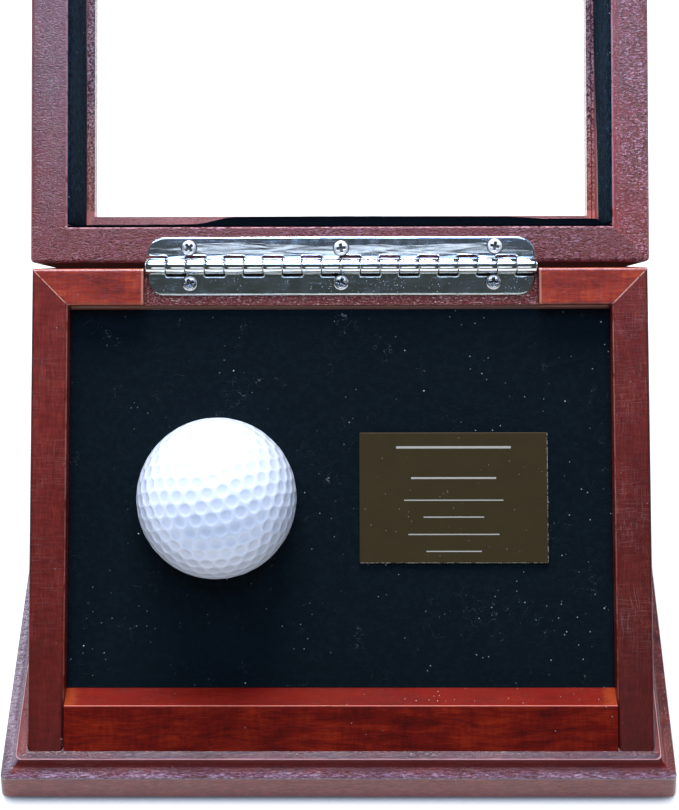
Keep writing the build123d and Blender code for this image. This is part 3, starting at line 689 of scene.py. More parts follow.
def metal_mat(name, m, col, rough, scratch=1.0, wave=1.0, seed=0.0, dust=0.5, dust_size=0.05, stretch_x=0.12, dish=0.0, pit=None):
    w = Mat(name)
    p = w.vadd(w.coords(m), (seed * 9.0, seed * 4.0, seed))
    c1 = w.noise(p, 0.35, 3.0, 0.6)
    col_s = w.mix(w.mul(c1, 0.35), col, [x * 0.75 for x in col])
    fine = w.noise(w.stretch(p, (0.35, 9.0, 9.0)), 1.0, 2.0, 0.6)
    spots = w.voronoi(p, 0.55)
    spots = w.sub(1.0, w.ramp01(spots, dust_size * 0.6, dust_size * 1.4))
    col_s = w.mix(w.mul(spots, dust), col_s, (0.75, 0.78, 0.8))
    wav = w.noise(w.stretch(p, (stretch_x, 0.7, 0.7)), 1.0, 2.0, 0.55, dist=0.3)
    n1 = w.bump(wav, 0.00035 * wave, 1.0)
    if dish:
        # pressed metal leans back to the barrel, more in some places than in others
        c0 = w.coords(m)
        o = w.sep(c0)
        wob = w.noise(w.stretch(c0, (0.06, 0.45, 0.45)), 1.0, 2.0, 0.5, dist=0.5)
        slow = w.noise(w.stretch(c0, (0.030, 0.1, 0.1)), 1.0, 2.0, 0.5)
        y = w.math("MINIMUM", o[1], w.rng(slow, 0.35, 0.65, 5.3, 6.4))
        ends = both(w, w.ramp01(o[0], -50.0, -36.0), w.sub(1.0, w.ramp01(o[0], 34.0, 52.0)))
        lean = w.add(0.45, w.mul(ends, 0.55))
        n1 = w.bump(w.add(w.mul(y, lean), w.mul(wob, 1.2)), 0.001 * dish, 1.0, n1)
    n2 = w.bump(fine, 0.000006 * scratch, 1.0, n1)
    r = w.rng(c1, 0.3, 0.75, rough * 0.7, rough * 1.5)
    if pit is not None:
        # grime in the recess and round the rim
        oz = w.sep(w.coords(m))
        deep = below(w, oz[2], pit, 0.14)
        col_s = w.mix(w.mul(deep, 0.9), col_s, (0.035, 0.032, 0.03))
    # dust lies on the plating, and isn't metal
    grit = w.voronoi(w.vadd(p, (3.0, 5.0, 7.0)), 1.15)
    grit = w.sub(1.0, w.ramp01(grit, dust_size, dust_size * 2.4))
    grit = w.mul(grit, w.ramp01(w.noise(p, 0.16, 2.0, 0.6), 0.46, 0.60))
    grit = w.mul(grit, dust)
    col_s = w.mix(grit, col_s, (0.62, 0.64, 0.65))
    b = w.principled(Base_Color=col_s, Metallic=w.sub(1.0, grit), Roughness=r, Normal=n2)
    return w.finish(b.outputs[0])


m_hinge_body = metal_mat("plated_leaf_lower", FACE, (0.62, 0.67, 0.66), 0.14, wave=0.2, seed=1.0, scratch=2.0, dust=0.9, dust_size=0.085)
m_hinge_lid = metal_mat("plated_leaf_upper", LID, (0.66, 0.73, 0.84), 0.21, wave=0.08, seed=2.0, dish=0.20)
m_barrel = metal_mat("plated_barrel", FACE, (0.78, 0.80, 0.82), 0.09, wave=0.05, seed=6.0, dust=0.15)
m_screw = metal_mat("plated_screw", FACE, (0.74, 0.75, 0.76), 0.24, wave=0.4, seed=3.0, stretch_x=0.7, pit=-2.08)
m_screw_lid = metal_mat("plated_screw_lid", LID, (0.99, 0.99, 1.0), 0.5, wave=0.3, seed=4.0, stretch_x=0.7, pit=-0.66)
m_base_screw = metal_mat("steel_base_screw", FLAT, (0.6, 0.6, 0.6), 0.3, wave=0.4, seed=5.0, stretch_x=0.7)


def plate_mat():
    w = Mat("darkened_brass")
    p = w.coords(FACE)
    c = w.noise(p, 0.16, 3.0, 0.6)
    f = w.noise(w.stretch(p, (0.5, 7.0, 7.0)), 1.0, 3.0, 0.6)
    col = w.mix(c, lin(52, 42, 22), lin(60, 49, 27))
    col = w.mix(w.mul(f, 0.2), col, lin(40, 34, 20))
    v = w.voronoi(p, 0.5)
    spot = w.sub(1.0, w.ramp01(v, 0.03, 0.065))
    col = w.mix(w.mul(spot, 0.6), col, (0.55, 0.53, 0.45))
    # plain engraved rules, bright where the dark finish is cut through
    o = w.sep(p)
    total = None
    for s_at, half_w, half_t in ((79.4, 15.4, 0.30), (71.2, 11.4, 0.24), (65.3, 13.3, 0.15), (60.8, 8.1, 0.15), (56.2, 12.2, 0.15), (51.7, 7.4, 0.15)):
        ln = w.mul(near_line(w, o[1], s_at, half_t, 0.35), below(w, w.math("ABSOLUTE", w.sub(o[0], 30.5)), half_w, 0.08))
        total = ln if total is None else w.math("MAXIMUM", total, ln)
    col = w.mix(w.mul(total, 0.9), col, lin(176, 170, 158))
    # rubbed lower and right-hand edges
    rub = w.ramp01(w.noise(p, 1.1, 3.0, 0.65), 0.42, 0.58)
    low = w.math("MAXIMUM", below(w, o[1], 48.75, 0.1), above(w, o[0], 55.6, 0.1))
    col = w.mix(w.mul(w.mul(low, rub), 0.75), col, lin(176, 172, 160))
    b = w.principled(Base_Color=col, Metallic=0.0, Roughness=0.5, Specular_IOR_Level=0.10,
                     Normal=w.bump(f, 0.00002, 0.7))
    return w.finish(b.outputs[0])


m_plate = plate_mat()


def glass_mat():
    w = Mat("clear_glass")
    p = w.coords(LID)
    smear = w.noise(p, 0.05, 3.0, 0.6)
    fr = w.node("ShaderNodeFresnel")
    fr.inputs["IOR"].default_value = 1.5
    tr = w.node("ShaderNodeBsdfTransparent")
    w.put(tr.inputs[0], w.mix(smear, (0.985, 0.992, 0.99), (0.975, 0.985, 0.982)))
    gl = w.node("ShaderNodeBsdfGlossy")
    gl.inputs["Color"].default_value = (1, 1, 1, 1)
    gl.inputs["Roughness"].default_value = 0.02
    w.put(gl.inputs["Normal"], w.bump(smear, 0.00005, 0.5))
    mx = w.node("ShaderNodeMixShader")
    # only the side a ray comes in by reflects
    geo = w.node("ShaderNodeNewGeometry")
    w.put(mx.inputs[0], w.mul(w.mul(fr.outputs[0], 0.9), w.sub(1.0, geo.outputs["Backfacing"])))
    w.put(mx.inputs[1], tr.outputs[0])
    w.put(mx.inputs[2], gl.outputs[0])
    return w.finish(mx.outputs[0])


m_glass = glass_mat()


_lo, _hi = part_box("golf_ball")
BALL_C = tuple((_lo + _hi) / 2)
BALL_R = (_hi.x - _lo.x) / 2


def ball_mat():
    w = Mat("ball_urethane")
    tc = w.node("ShaderNodeTexCoord")
    f = w.noise(tc.outputs["Object"], 900.0, 2.0, 0.5)
    g = w.noise(tc.outputs["Object"], 120.0, 2.0, 0.5)
    # the ball's colour is tinted blue, standing in for the bluish shade on its lower half
    col = w.mix(g, (0.725, 0.78, 0.90), (0.765, 0.82, 0.93))
    # painted shade in the hollows of the dimples
    n = w.node("ShaderNodeVectorMath", operation="DISTANCE")
    w.put(n.inputs[0], tc.outputs["Object"])
    w.put(n.inputs[1], BALL_C)
    dimple_shade = w.sub(1.0, w.ramp01(n.outputs["Value"], BALL_R - 0.00023, BALL_R - 0.00004))
    col = w.mix(w.mul(dimple_shade, 0.26), col, (0.44, 0.49, 0.60))
    b = w.principled(Base_Color=col, Roughness=0.32, Specular_IOR_Level=0.5, Coat_Weight=0.6, Coat_Roughness=0.12,
                      Normal=w.bump(f, 0.00001, 0.3))
    return w.finish(b.outputs[0])


m_ball = ball_mat()


def paint(node, mat):
    o = nodes[node]
    o.data.materials.clear()
    o.data.materials.append(mat)
    for p in o.data.polygons:
        p.material_index = 0


for n, m in {
    "base_plate": m_base, "base_felt": m_felt, "base_screws": m_base_screw,
    "left_side_board": m_stile_l, "right_side_board": m_stile_r, "top_rail": m_top, "front_rail": m_front,
    "back_board": m_back, "display_board": m_display, "velvet_facing": m_velvet, "left_cleat": m_plain, "right_cleat": m_plain,
    "nameplate": m_plate, "hinge_body_leaf": m_hinge_body, "hinge_pin": m_screw, "body_hinge_screws": m_screw,
    "hinge_lid_leaf": m_hinge_lid, "lid_hinge_screws": m_screw_lid,
    "lid_left_rail": m_lid_y, "lid_right_rail": m_lid_r, "lid_hinge_rail": m_lid_x, "lid_front_rail": m_lid_x,
    "lid_glass": m_glass, "lid_lining_hinge": m_lining, "lid_lining_front": m_lining, "lid_lining_left": m_lining,
    "lid_lining_right": m_lining, "golf_ball": m_ball,
}.items():
    paint(n, m)


# ---------------------------------------------------------------- mesh helpers
def new_obj(name, verts, faces, mat, matrix=None, smooth=True):
    me = bpy.data.meshes.new(name)
    if matrix is not None:
        verts = [tuple(matrix @ Vector(v)) for v in verts]
    me.from_pydata([tuple(v) for v in verts], [], faces)
    me.update()
    o = bpy.data.objects.new(name, me)
    bpy.context.scene.collection.objects.link(o)
    me.materials.append(mat)
    if smooth:
        me.polygons.foreach_set("use_smooth", [True] * len(me.polygons))
    return o


# ---------------------------------------------------------------- golf ball
def ball_points():
    """centres of the dimples: a chiral icosahedral lattice, eased to even spacing"""
    b, c = 6, 1
    phi = (1 + 5 ** 0.5) / 2
    V = np.array([(-1, phi, 0), (1, phi, 0), (-1, -phi, 0), (1, -phi, 0), (0, -1, phi), (0, 1, phi), (0, -1, -phi), (0, 1, -phi),
                  (phi, 0, -1), (phi, 0, 1), (-phi, 0, -1), (-phi, 0, 1)], float)
    V /= np.linalg.norm(V[0])
    F = [(0, 11, 5), (0, 5, 1), (0, 1, 7), (0, 7, 10), (0, 10, 11), (1, 5, 9), (5, 11, 4), (11, 10, 2), (10, 7, 6), (7, 1, 8),
         (3, 9, 4), (3, 4, 2), (3, 2, 6), (3, 6, 8), (3, 8, 9), (4, 9, 5), (2, 4, 11), (6, 2, 10), (8, 6, 7), (9, 8, 1)]
    e1, e2 = np.array([1.0, 0.0]), np.array([0.5, 3 ** 0.5 / 2])
    A = np.array([0.0, 0.0])
    B = b * e1 + c * e2
    th = math.radians(60)
    C = np.array([B[0] * math.cos(th) - B[1] * math.sin(th), B[0] * math.sin(th) + B[1] * math.cos(th)])
    M = np.linalg.inv(np.array([[B[0], C[0]], [B[1], C[1]]]))
    pts = []
    for i in range(-12, 13):
        for j in range(-12, 13):
            uv = M @ (i * e1 + j * e2)
            w0 = 1 - uv[0] - uv[1]
            if min(uv[0], uv[1], w0) > -1e-9:
                for f in F:
                    q = w0 * V[f[0]] + uv[0] * V[f[1]] + uv[1] * V[f[2]]
                    pts.append(q / np.linalg.norm(q))
    out = []
    for q in pts:
        if all(np.dot(q, o) < 0.9999 for o in out):
            out.append(q)
    P = np.array(out)
    for k in range(60):
        d = P[:, None, :] - P[None, :, :]
        r2 = (d ** 2).sum(-1) + np.eye(len(P))
        f = (d / (r2 ** 2.5)[..., None]).sum(1)
        f -= (f * P).sum(1)[:, None] * P
        step = 0.0015 * (1 - k / 70)
        f *= step / max(np.abs(f).max(), 1e-9)
        P = P + f
        P /= np.linalg.norm(P, axis=1)[:, None]
    return P


def make_ball():
    lo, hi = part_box("golf_ball")
    c = (lo + hi) / 2
    R = (hi.x - lo.x) / 2
    bm = bmesh.new()
    bmesh.ops.create_icosphere(bm, subdivisions=8, radius=1.0)
    me = bpy.data.meshes.new("golf_ball_dimpled")
    bm.to_mesh(me)
    bm.free()
    n = len(me.vertices)
    co = np.zeros(n * 3)
    me.vertices.foreach_get("co", co)
    co = co.reshape(-1, 3)
    co /= np.linalg.norm(co, axis=1)[:, None]
    P = ball_points()
    rot = np.array(Matrix.Rotation(0.55, 3, "X") @ Matrix.Rotation(0.35, 3, "Y") @ Matrix.Rotation(0.9, 3, "Z"))
    P = P @ rot.T
    best = np.full(n, -1.0)
    for a in range(0, n, 20000):
        best[a:a + 20000] = (co[a:a + 20000] @ P.T).max(1)
    ang = np.arccos(np.clip(best, -1, 1))
    d = ang * R * 1000.0
    rd = 1.72
    x = np.clip(d / rd, 0, 1)
    depth = 0.25 * (1 - x ** 2.6)
    # a crisp shoulder
    depth = np.where(d < rd, depth, 0.0)
    r = R - depth * MM
    co2 = co * r[:, None] + np.array(c)
    me.vertices.foreach_set("co", co2.ravel())
    me.update()
    me.polygons.foreach_set("use_smooth", [True] * len(me.polygons))
    me.materials.append(m_ball)
    o = bpy.data.objects.new("golf_ball_dimpled", me)
    bpy.context.scene.collection.objects.link(o)
    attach(o, "ball")
    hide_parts("golf_ball")
    nodes["golf_ball"].hide_render = True
    return o


make_ball()

# ---------------------------------------------------------------- base board
def rounded_rect(hx, hy, r, n_side_x, n_side_y, n_c):
    """points round a rounded rectangle, anticlockwise from the middle of the right-hand side's start"""
    pts = []
    r = max(r, 0.02)
    corners = [(hx - r, hy - r, 0), (-hx + r, hy - r, 90), (-hx + r, -hy + r, 180), (hx - r, -hy + r, 270)]
    sides = [(n_side_y, (hx, -hy + r), (hx, hy - r)), (n_side_x, (hx - r, hy), (-hx + r, hy)),
             (n_side_y, (-hx, hy - r), (-hx, -hy + r)), (n_side_x, (-hx + r, -hy), (hx - r, -hy))]
    for k in range(4):
        n, a, b = sides[k]
        for i in range(n):
            t = i / n
            pts.append((a[0] + (b[0] - a[0]) * t, a[1] + (b[1] - a[1]) * t))
        cx, cy, a0 = corners[k]
        for i in range(n_c):
            an = math.radians(a0 + 90 * i / n_c)
            pts.append((cx + r * math.cos(an), cy + r * math.sin(an)))
    return pts


def make_base():
    lo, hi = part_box("base_plate")
    lean = 1.6
    hx, hy = 88.9, hi.y / MM
    zb, zt = lo.z / MM, hi.z / MM
    prof = [(6.0, zb, 2.0), (1.2, zb, 1.2), (0.5, zb + 0.05, 1.1), (0.18, zb + 0.2, 1.15), (0.04, zb + 0.5, 1.2), (0.0, zb + 1.0, 1.25)]
    for k in range(1, 7):
        prof.append((0.0, zb + 1.0 + (12.55 - 1.0) * k / 6.0, 1.25))
    prof += [(0.03, zb + 12.75, 1.2), (0.12, zb + 12.92, 1.15), (0.28, zb + 13.02, 1.05)]
    for k in range(1, 15):
        a = math.radians(6 + 84 * k / 15)
        prof.append((3.9 * math.sin(a) + 0.02, zb + 16 - 3.0 * math.cos(a), 1.0 - 0.75 * math.sin(math.radians(min(180, 180 * k / 11))) if k < 11 else 0.4 + 0.26 * (k - 10)))
    prof += [(3.93, zt - 0.28, 1.6), (3.99, zt - 0.12, 1.65), (4.12, zt - 0.03, 1.6), (4.3, zt, 1.55), (5.2, zt, 1.4), (8.0, zt, 1.5), (30.0, zt, 1.0)]
    nx, ny, nc = 150, 120, 7
    rings = []
    for k, (d, z, r) in enumerate(prof):
        ring = []
        amp = 0.0
        if zb + 12.4 < z < zt - 0.001:
            amp = 1.0
        elif zb + 0.3 < z <= zb + 12.4:
            amp = 0.45
        for (x, y) in rounded_rect(hx - d, hy - d, r, nx, ny, nc):
            w1 = noise.noise(Vector((x * 0.06, y * 0.06, z * 0.35 + 3)))
            w2 = noise.noise(Vector((x * 0.35, y * 0.35, z * 0.6 + 9)))
            off = amp * (0.07 * w1 + 0.035 * w2)
            s_ = 1 - max(off, -0.02 if d < 0.05 else -1) / 80.0
            dz = 0.0
            if zb + 12.3 < z < zt - 0.2:
                dz = 0.10 * w1 + 0.05 * w2 - 0.02
            if abs(d - 4.2) < 0.25:
                dz = -0.02 - 0.02 * w2
            px = min(max(x * s_, -hx), hx)
            # the end faces lean out to the foot, and the front is a shade out of square
            px += math.copysign(lean * min(max((zb + 13.0 - z) / 13.0, 0.0), 1.0), px) * min(abs(px) / 80.0, 1.0)
            px -= 0.7 * min(max((30.0 - y) / 103.0, 0.0), 1.0)
            ring.append((px, min(max(y * s_, -hy), hy), min(z + dz, zt)))
        rings.append(ring)
    n = len(rings[0])
    verts = [v for r_ in rings for v in r_]
    faces = []
    for k in range(len(rings) - 1):
        for i in range(n):
            a, b = k * n + i, k * n + (i + 1) % n
            faces.append((a, b, b + n, a + n))
    faces.append(tuple(range(n))[::-1])
    faces.append(tuple((len(rings) - 1) * n + i for i in range(n)))
    o = new_obj("base_board_moulded", verts, faces, m_base, FLAT)
    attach(o, "case")
    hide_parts("base_plate")
    nodes["base_plate"].hide_render = True
    return o


make_base()

# ---------------------------------------------------------------- hinge
HX, HLEN, KN, PITCH = 0.4, 105.0, 20, 5.25
XL = HX - HLEN / 2


def leaf_outline(first):
    """(x, distance from the axis) round one leaf, anticlockwise"""
    r = 4.8
    w_ = 7.95
    pts = []
    xa, xb = XL, XL + HLEN
    for i in range(9):
        a = math.radians(90 * i / 8)
        pts.append((xb - r + r * math.cos(a), w_ - r + r * math.sin(a)))
    nseg = 60
    for i in range(1, nseg):
        pts.append((xb - r + (xa + r - (xb - r)) * i / nseg, w_))
    for i in range(9):
        a = math.radians(90 + 90 * i / 8)
        pts.append((xa + r + r * math.cos(a), w_ - r + r * math.sin(a)))
    y_in, rr, g = 2.55, 0.45, 0.075
    for i in range(KN):
        xs, xe = XL + i * PITCH, XL + (i + 1) * PITCH
        own = (i % 2 == first)
        if own:
            pts.append((xs + (g if i else 0), 0.2))
            pts.append((xe - (g if i < KN - 1 else 0), 0.2))
        else:
            lo_, hi_ = xs - g, xe + g
            if i == 0:
                pts.append((xa, y_in))
            else:
                for k in range(5):
                    a = math.radians(180 - 90 * k / 4)
                    pts.append((lo_ + rr + rr * math.cos(a), y_in - rr + rr * math.sin(a)))
            if i == KN - 1:
                pts.append((xb, y_in))
            else:
                for k in range(5):
                    a = math.radians(90 - 90 * k / 4)
                    pts.append((hi_ - rr + rr * math.cos(a), y_in - rr + rr * math.sin(a)))
    return pts


def make_leaf(name, sign, first, holes, mat, matrix, body, node):
    pts = leaf_outline(first)
    zb, zt = -2.15, -1.25
    # bevelled shell: rings of the outline pulled in a little near the top
    import mathutils
    n = len(pts)
    P = np.array(pts)
    prev, nxt = np.roll(P, 1, 0), np.roll(P, -1, 0)
    d1 = P - prev
    d2 = nxt - P
    d1 /= np.maximum(np.linalg.norm(d1, axis=1), 1e-9)[:, None]
    d2 /= np.maximum(np.linalg.norm(d2, axis=1), 1e-9)[:, None]
    n1 = np.stack([-d1[:, 1], d1[:, 0]], 1)
    n2 = np.stack([-d2[:, 1], d2[:, 0]], 1)
    m_ = n1 + n2
    ln = np.linalg.norm(m_, axis=1)[:, None]
    m_ = m_ / np.maximum(ln, 1e-6)
    k = 1.0 / np.maximum((m_ * n1).sum(1), 0.5)[:, None]
    inn = m_ * k
    steps = [(0.0, zb), (0.0, zt - 0.50), (0.06, zt - 0.34), (0.17, zt - 0.18), (0.34, zt - 0.06), (0.58, zt)]
    verts, faces = [], []
    rings = []
    for (d, z) in steps:
        Q = P + inn * d
        rings.append(len(verts))
        verts += [(q[0], sign * q[1], z) for q in Q]
    for a, b in zip(rings[:-1], rings[1:]):
        for i in range(n):
            j = (i + 1) % n
            f = (a + i, a + j, b + j, b + i)
            faces.append(f if sign > 0 else f[::-1])
    top = tuple(rings[-1] + i for i in range(n))
    bot = tuple(rings[0] + i for i in range(n))
    faces.append(top if sign > 0 else top[::-1])
    faces.append(bot[::-1] if sign > 0 else bot)
    o = new_obj(name, verts, faces, mat, matrix)
    bm = bmesh.new()
    bm.from_mesh(o.data)
    # let the flat faces be flat
    for f in bm.faces:
        if len(f.verts) > 8:
            f.smooth = False
    bmesh.ops.triangulate(bm, faces=[f for f in bm.faces if len(f.verts) > 8])
    # rolled knuckles
    seg = 40
    R, B = 2.15, 1.05
    for i in range(KN):
        if i % 2 != first:
            continue
        xs, xe = XL + i * PITCH + (0.075 if i else 0.0), XL + (i + 1) * PITCH - (0.075 if i < KN - 1 else 0.0)
        prof = [(xs, B), (xs, R - 0.14), (xs + 0.04, R - 0.04), (xs + 0.14, R), (xe - 0.14, R), (xe - 0.04, R - 0.04), (xe, R - 0.14), (xe, B)]
        ringv = []
        for (x, r) in prof:
            ringv.append([bm.verts.new(matrix @ Vector((x, r * math.cos(2 * math.pi * q / seg), r * math.sin(2 * math.pi * q / seg)))) for q in range(seg)])
        for a in range(len(prof)):
            b = (a + 1) % len(prof)
            for q in range(seg):
                q2 = (q + 1) % seg
                f = bm.faces.new((ringv[a][q], ringv[a][q2], ringv[b][q2], ringv[b][q]))
                f.smooth = True
                f.material_index = 1
    bmesh.ops.recalc_face_normals(bm, faces=bm.faces)
    bm.to_mesh(o.data)
    bm.free()
    o.data.materials.append(m_barrel)
    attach(o, body)
    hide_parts(node)
    nodes[node].hide_render = True
    return o


HINGE_BODY = FACE @ Matrix.Translation((0, AX_S, AX_N))
make_leaf("hinge_leaf_on_case", -1, 0, [], m_hinge_body, HINGE_BODY, "case", "hinge_body_leaf")
make_leaf("hinge_leaf_on_lid", 1, 1, [], m_hinge_lid, LID, "lid", "hinge_lid_leaf")

# ---------------------------------------------------------------- lid rail by the hinge
def make_hinge_rail():
    """the outer wall of this rail isn't dead square: it leans out by under a millimetre at the glass end"""
    src = nodes["lid_hinge_rail"]
    me = src.data.copy()
    me.name = "lid_rail_hinge_side"
    inv = LID.inverted()
    for v in me.vertices:
        q = inv @ v.co
        if q.y < 1.6 and q.z < -3.0:
            q.y -= 0.9 * min((-3.0 - q.z) / 36.0, 1.0)
            v.co = LID @ q
    o = bpy.data.objects.new("lid_rail_hinge_side", me)
    bpy.context.scene.collection.objects.link(o)
    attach(o, "lid")
    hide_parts("lid_hinge_rail")
    src.hide_render = True
    return o


lid_rail = make_hinge_rail()


# ---------------------------------------------------------------- screws
def make_screws(name, node, mat, matrix, body, places):
    """pan heads with a cross recess and a soft turned rim"""
    verts, faces = [], []
    R, H, nr, na = 2.2, 1.0, 34, 120
    for (cx, cy, zb, turn) in places:
        base_i = len(verts)
        th = math.radians(turn)
        def height(x, y):
            r = math.hypot(x, y)
            k = min(r / R, 1.0)
            h = H * (1 - k ** 3.4) ** 0.5
            h += 0.05 * noise.noise(Vector((x * 0.9 + cx, y * 0.9, 2.0)))* (1 - k)
            u, v = x * math.cos(th) + y * math.sin(th), -x * math.sin(th) + y * math.cos(th)
            d = 0.0
            for (a, b) in ((u, v), (v, u)):
                wide = 0.40 + 0.05 * abs(b)
                inside = min(1.0, max(0.0, (wide - abs(a)) / 0.13)) * min(1.0, max(0.0, (1.32 - abs(b)) / 0.22))
                d = max(d, inside)
            core = min(1.0, max(0.0, (0.62 - r) / 0.2))
            d = max(d, core)
            return max(h - 0.85 * d * (1.0 - 0.35 * min(r / 1.3, 1.0)), 0.06)
        verts.append((cx, cy, zb + height(0, 0)))
        for i in range(1, nr + 1):
            r = R * (i / nr)
            for k in range(na):
                a = 2 * math.pi * k / na
                x, y = r * math.cos(a), r * math.sin(a)
                z = height(x, y) if i < nr else 0.22
                verts.append((cx + x, cy + y, zb + z))
        for (r, z) in ((R, 0.0), (0.9, 0.0), (0.9, -0.7)):
            for k in range(na):
                a = 2 * math.pi * k / na
                verts.append((cx + r * math.cos(a), cy + r * math.sin(a), zb + z))
        verts.append((cx, cy, zb - 0.7))
        last = len(verts) - 1
        for k in range(na):
            k2 = (k + 1) % na
            faces.append((base_i, base_i + 1 + k, base_i + 1 + k2))
        for i in range(nr + 2):
            a0, b0 = base_i + 1 + i * na, base_i + 1 + (i + 1) * na
            for k in range(na):
                k2 = (k + 1) % na
                faces.append((a0 + k, b0 + k, b0 + k2, a0 + k2))
        e0 = base_i + 1 + (nr + 2) * na
        for k in range(na):
            faces.append((last, e0 + (k + 1) % na, e0 + k))
    o = new_obj(name, verts, faces, mat, matrix)
    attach(o, body)
    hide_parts(node)
    nodes[node].hide_render = True
    return o


make_screws("case_leaf_screws", "body_hinge_screws", m_screw, FACE, "case",
            [(0.4 - 41 + 0.1, AX_S - 4.65, -2.5, 24), (0.4, AX_S - 4.5, -2.5, 70), (0.4 + 41 + 0.1, AX_S - 4.45, -2.5, 5)])
make_screws("lid_leaf_screws", "lid_hinge_screws", m_screw_lid, LID, "lid",
            [(0.4 - 41 - 0.1, 4.9, -1.25, 40), (0.4, 4.75, -1.25, 8), (0.4 + 41 + 0.5, 5.2, -1.25, -12)])

# ---------------------------------------------------------------- soft pieces
IX, I1, I2, RIM = 73.8, 10.6, 117.7, -2.15


def ss(v, a, b):
    t = min(max((v - a) / (b - a), 0.0), 1.0)
    return t * t * (3 - 2 * t)


def ribbon(name, node, kind, length, off, d0, d1, nu=150, nv=26, thick=0.8, mat=None):
    """a velvet strip standing on a wall of the lid; off, d0 and d1 are functions of the place along it"""
    def place(u, h, d):
        z = RIM - d
        if kind == "hinge":
            return (u, I1 + h, z)
        if kind == "front":
            return (u, I2 - h, z)
        if kind == "left":
            return (-IX + h, u, z)
        return (IX - h, u, z)
    u0, u1 = length
    verts = []
    for side in (0, 1):
        for i in range(nu + 1):
            u = u0 + (u1 - u0) * i / nu
            a, b = d0(u), d1(u)
            for k in range(nv + 1):
                v = k / nv
                d = a + (b - a) * v
                base = off(u, v)
                soft = 0.06 * noise.noise(Vector((u * 0.25, d * 0.25, 5.0 + side)))
                if side == 0:
                    edge = min(v, 1 - v, i / nu * 6, (nu - i) / nu * 6)
                    h = base + thick * (0.55 + 0.45 * min(1.0, edge * 9)) + soft
                else:
                    h = max(base, 0.0)
                verts.append(place(u, h, d))
    st = (nu + 1) * (nv + 1)
    faces = []
    def idx(sd, i, k):
        return sd * st + i * (nv + 1) + k
    for i in range(nu):
        for k in range(nv):
            faces.append((idx(0, i, k), idx(0, i, k + 1), idx(0, i + 1, k + 1), idx(0, i + 1, k)))
            faces.append((idx(1, i, k), idx(1, i + 1, k), idx(1, i + 1, k + 1), idx(1, i, k + 1)))
    for i in range(nu):
        faces.append((idx(0, i, 0), idx(0, i + 1, 0), idx(1, i + 1, 0), idx(1, i, 0)))
        faces.append((idx(0, i, nv), idx(1, i, nv), idx(1, i + 1, nv), idx(0, i + 1, nv)))
    for k in range(nv):
        faces.append((idx(0, 0, k), idx(1, 0, k), idx(1, 0, k + 1), idx(0, 0, k + 1)))
        faces.append((idx(0, nu, k), idx(0, nu, k + 1), idx(1, nu, k + 1), idx(1, nu, k)))
    o = new_obj(name, verts, faces, mat or m_lining, LID)
    bm = bmesh.new()
    bm.from_mesh(o.data)
    bmesh.ops.recalc_face_normals(bm, faces=bm.faces)
    bm.to_mesh(o.data)
    bm.free()
    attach(o, "lid")
    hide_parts(node)
    nodes[node].hide_render = True
    return o


def wob(u, f, ph, a):
    return a * noise.noise(Vector((u * f, ph, 1.7)))


def bow(u, v):
    """the hinge-side strip stands away from the wall along its middle"""
    out = 0.3 + 1.2 * ss(u, -70, -38) + 2.35 * ss(u, -42, -30) - 0.75 * ss(u, 47, 60)
    return v ** 1.3 * out * (0.97 + 0.03 * math.cos(u * 0.05))


r1 = ribbon("lid_velvet_hinge_side", "lid_lining_hinge", "hinge", (-IX + 0.05, IX - 0.05), bow, lambda u: 0.35 + wob(u, 0.08, 2, 0.12), lambda u: 31.2 + wob(u, 0.06, 3, 0.5), mat=m_lining_shaded)
r2 = ribbon("lid_velvet_front_side", "lid_lining_front", "front", (-IX + 0.05, IX - 0.05), lambda u, v: 0.0, lambda u: 0.4 + wob(u, 0.08, 4, 0.12), lambda u: 30.8 + wob(u, 0.05, 5, 1.2))
r3 = ribbon("lid_velvet_left_side", "lid_lining_left", "left", (I1 + 0.9, I2 - 0.9), lambda u, v: 0.0, lambda u: 0.35 + wob(u, 0.08, 6, 0.12),
            lambda u: 29.6 + 1.0 * math.sin(u * 0.055) + wob(u, 0.12, 7, 0.7))
r4 = ribbon("lid_velvet_right_side", "lid_lining_right", "right", (I1 + 0.9, I2 - 0.9), lambda u, v: 0.0, lambda u: 0.35 + wob(u, 0.08, 8, 0.12),
            lambda u: 23.0 + 8.3 * ss(u, 12, 78) + wob(u, 0.12, 9, 0.7))

# ---------------------------------------------------------------- stage
floor = new_obj("floor", [(-4, -4, 0), (4, -4, 0), (4, 4, 0), (-4, 4, 0)], [(0, 1, 2, 3)], None or m_felt, smooth=False)
wf = Mat("floor_paper")
fp = wf.coords(FLAT)
# the floor glows evenly; ambient occlusion cuts the glow into a painted contact shadow, bluish at its edge, round the
# case
ao = wf.node("ShaderNodeAmbientOcclusion")
ao.samples = 8
ao.inputs["Distance"].default_value = 0.004
glow_and_contact_shadow = wf.rng(wf.ramp01(ao.outputs["AO"], 0.42, 0.86), 0.0, 1.0, 0.06, 1.0)
fb = wf.principled(Base_Color=wf.mix(wf.noise(fp, 0.01, 2.0), (0.26, 0.26, 0.265), (0.28, 0.28, 0.28)), Roughness=0.9, Specular_IOR_Level=0.1,
                   Emission_Color=wf.mix(glow_and_contact_shadow, (0.50, 0.62, 0.90), (0.97, 0.985, 1.0)), Emission_Strength=wf.mul(glow_and_contact_shadow, 1.02))
wf.finish(fb.outputs[0])
floor.data.materials.clear()
floor.data.materials.append(wf.m)


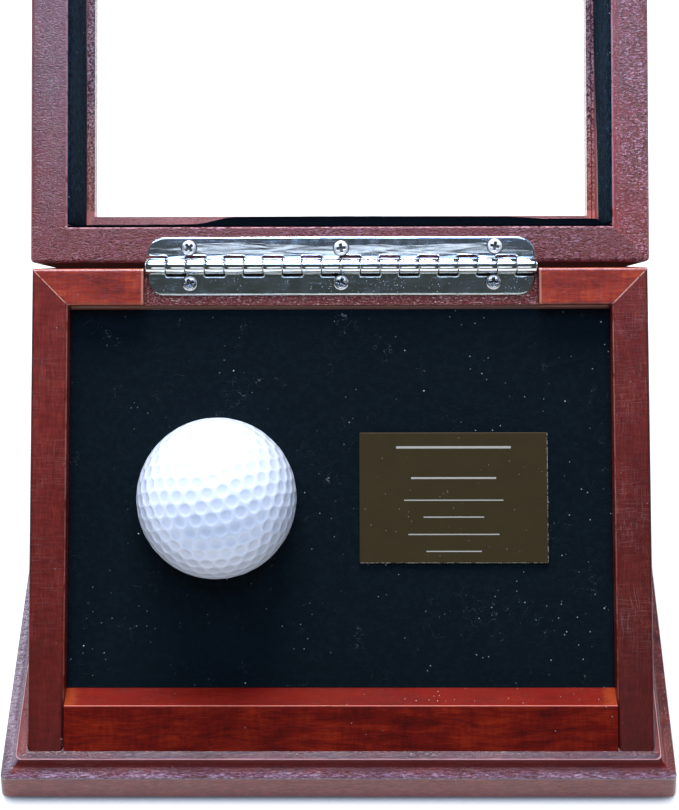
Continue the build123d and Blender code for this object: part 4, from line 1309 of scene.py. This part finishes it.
def area(name, loc, target, size, power, color=(1, 1, 1), size_y=None):
    ld = bpy.data.lights.new(name, "AREA")
    ld.shape = "RECTANGLE"
    ld.size = size
    ld.size_y = size_y or size
    ld.energy = power
    ld.color = color
    o = bpy.data.objects.new(name, ld)
    bpy.context.scene.collection.objects.link(o)
    o.location = loc
    d = Vector(target) - Vector(loc)
    o.rotation_mode = "QUATERNION"
    o.rotation_quaternion = d.to_track_quat("-Z", "Y")
    return o


T = (0, 0.02, 0.06)


def polar(angle, dist, x=0.0):
    """a place at that many degrees up from the back horizon, over to the front"""
    a = math.radians(angle)
    return (x, T[1] + dist * math.cos(a), T[2] + dist * math.sin(a))


area("key_softbox", polar(55, 1.7, -0.08), T, 0.9, 44.0, (1.0, 0.985, 0.975), 0.5)
area("top_softbox", polar(90, 1.5), T, 1.3, 20.0, (0.46, 0.64, 1.0), 0.8)
area("front_strip", polar(155, 1.5), T, 0.9, 1.9, (0.86, 0.93, 1.0), 0.44)
area("left_fill", (-1.02, 0.72, 0.99), T, 0.66, 8.5, (0.78, 0.86, 1.0), 0.6)
area("right_fill", (1.3, 0.2, 0.8), T, 0.8, 1.6, (0.85, 0.92, 1.0), 0.8)

wd = bpy.data.worlds.new("studio")
bpy.context.scene.world = wd
wd.use_nodes = True
bg = wd.node_tree.nodes["Background"]
bg.inputs[0].default_value = (0.82, 0.95, 0.95, 1)
bg.inputs[1].default_value = 0.07

# ---------------------------------------------------------------- camera
cam_data = bpy.data.cameras.new("camera")
cam = bpy.data.objects.new("camera", cam_data)
bpy.context.scene.collection.objects.link(cam)
cam_data.sensor_fit = "AUTO"
cam_data.sensor_width = 36.0
cam_data.lens = 1704.91 * 36.0 / 810.0
cam_data.shift_x = 0.0
cam_data.shift_y = -(405.0 - 250.0) / 810.0
R_, U_, F_ = Vector((0.99995663, 0.00362854, -0.00857697)), Vector((0.0025869, 0.77650684, 0.63010351)), Vector((-0.00894643, 0.63009837, -0.77646378))
cam.matrix_world = Matrix((
    (R_.x, U_.x, -F_.x, 0.00410696),
    (R_.y, U_.y, -F_.y, -0.18042329 + Y0 * MM),
    (R_.z, U_.z, -F_.z, 0.43190682 + Z0 * MM),
    (0, 0, 0, 1)))
cam_data.clip_start = 0.01
cam_data.clip_end = 50
bpy.context.scene.camera = cam
bpy.context.scene.view_settings.view_transform = "Standard"
bpy.context.scene.view_settings.look = "None"
bpy.context.scene.view_settings.exposure = 0.0
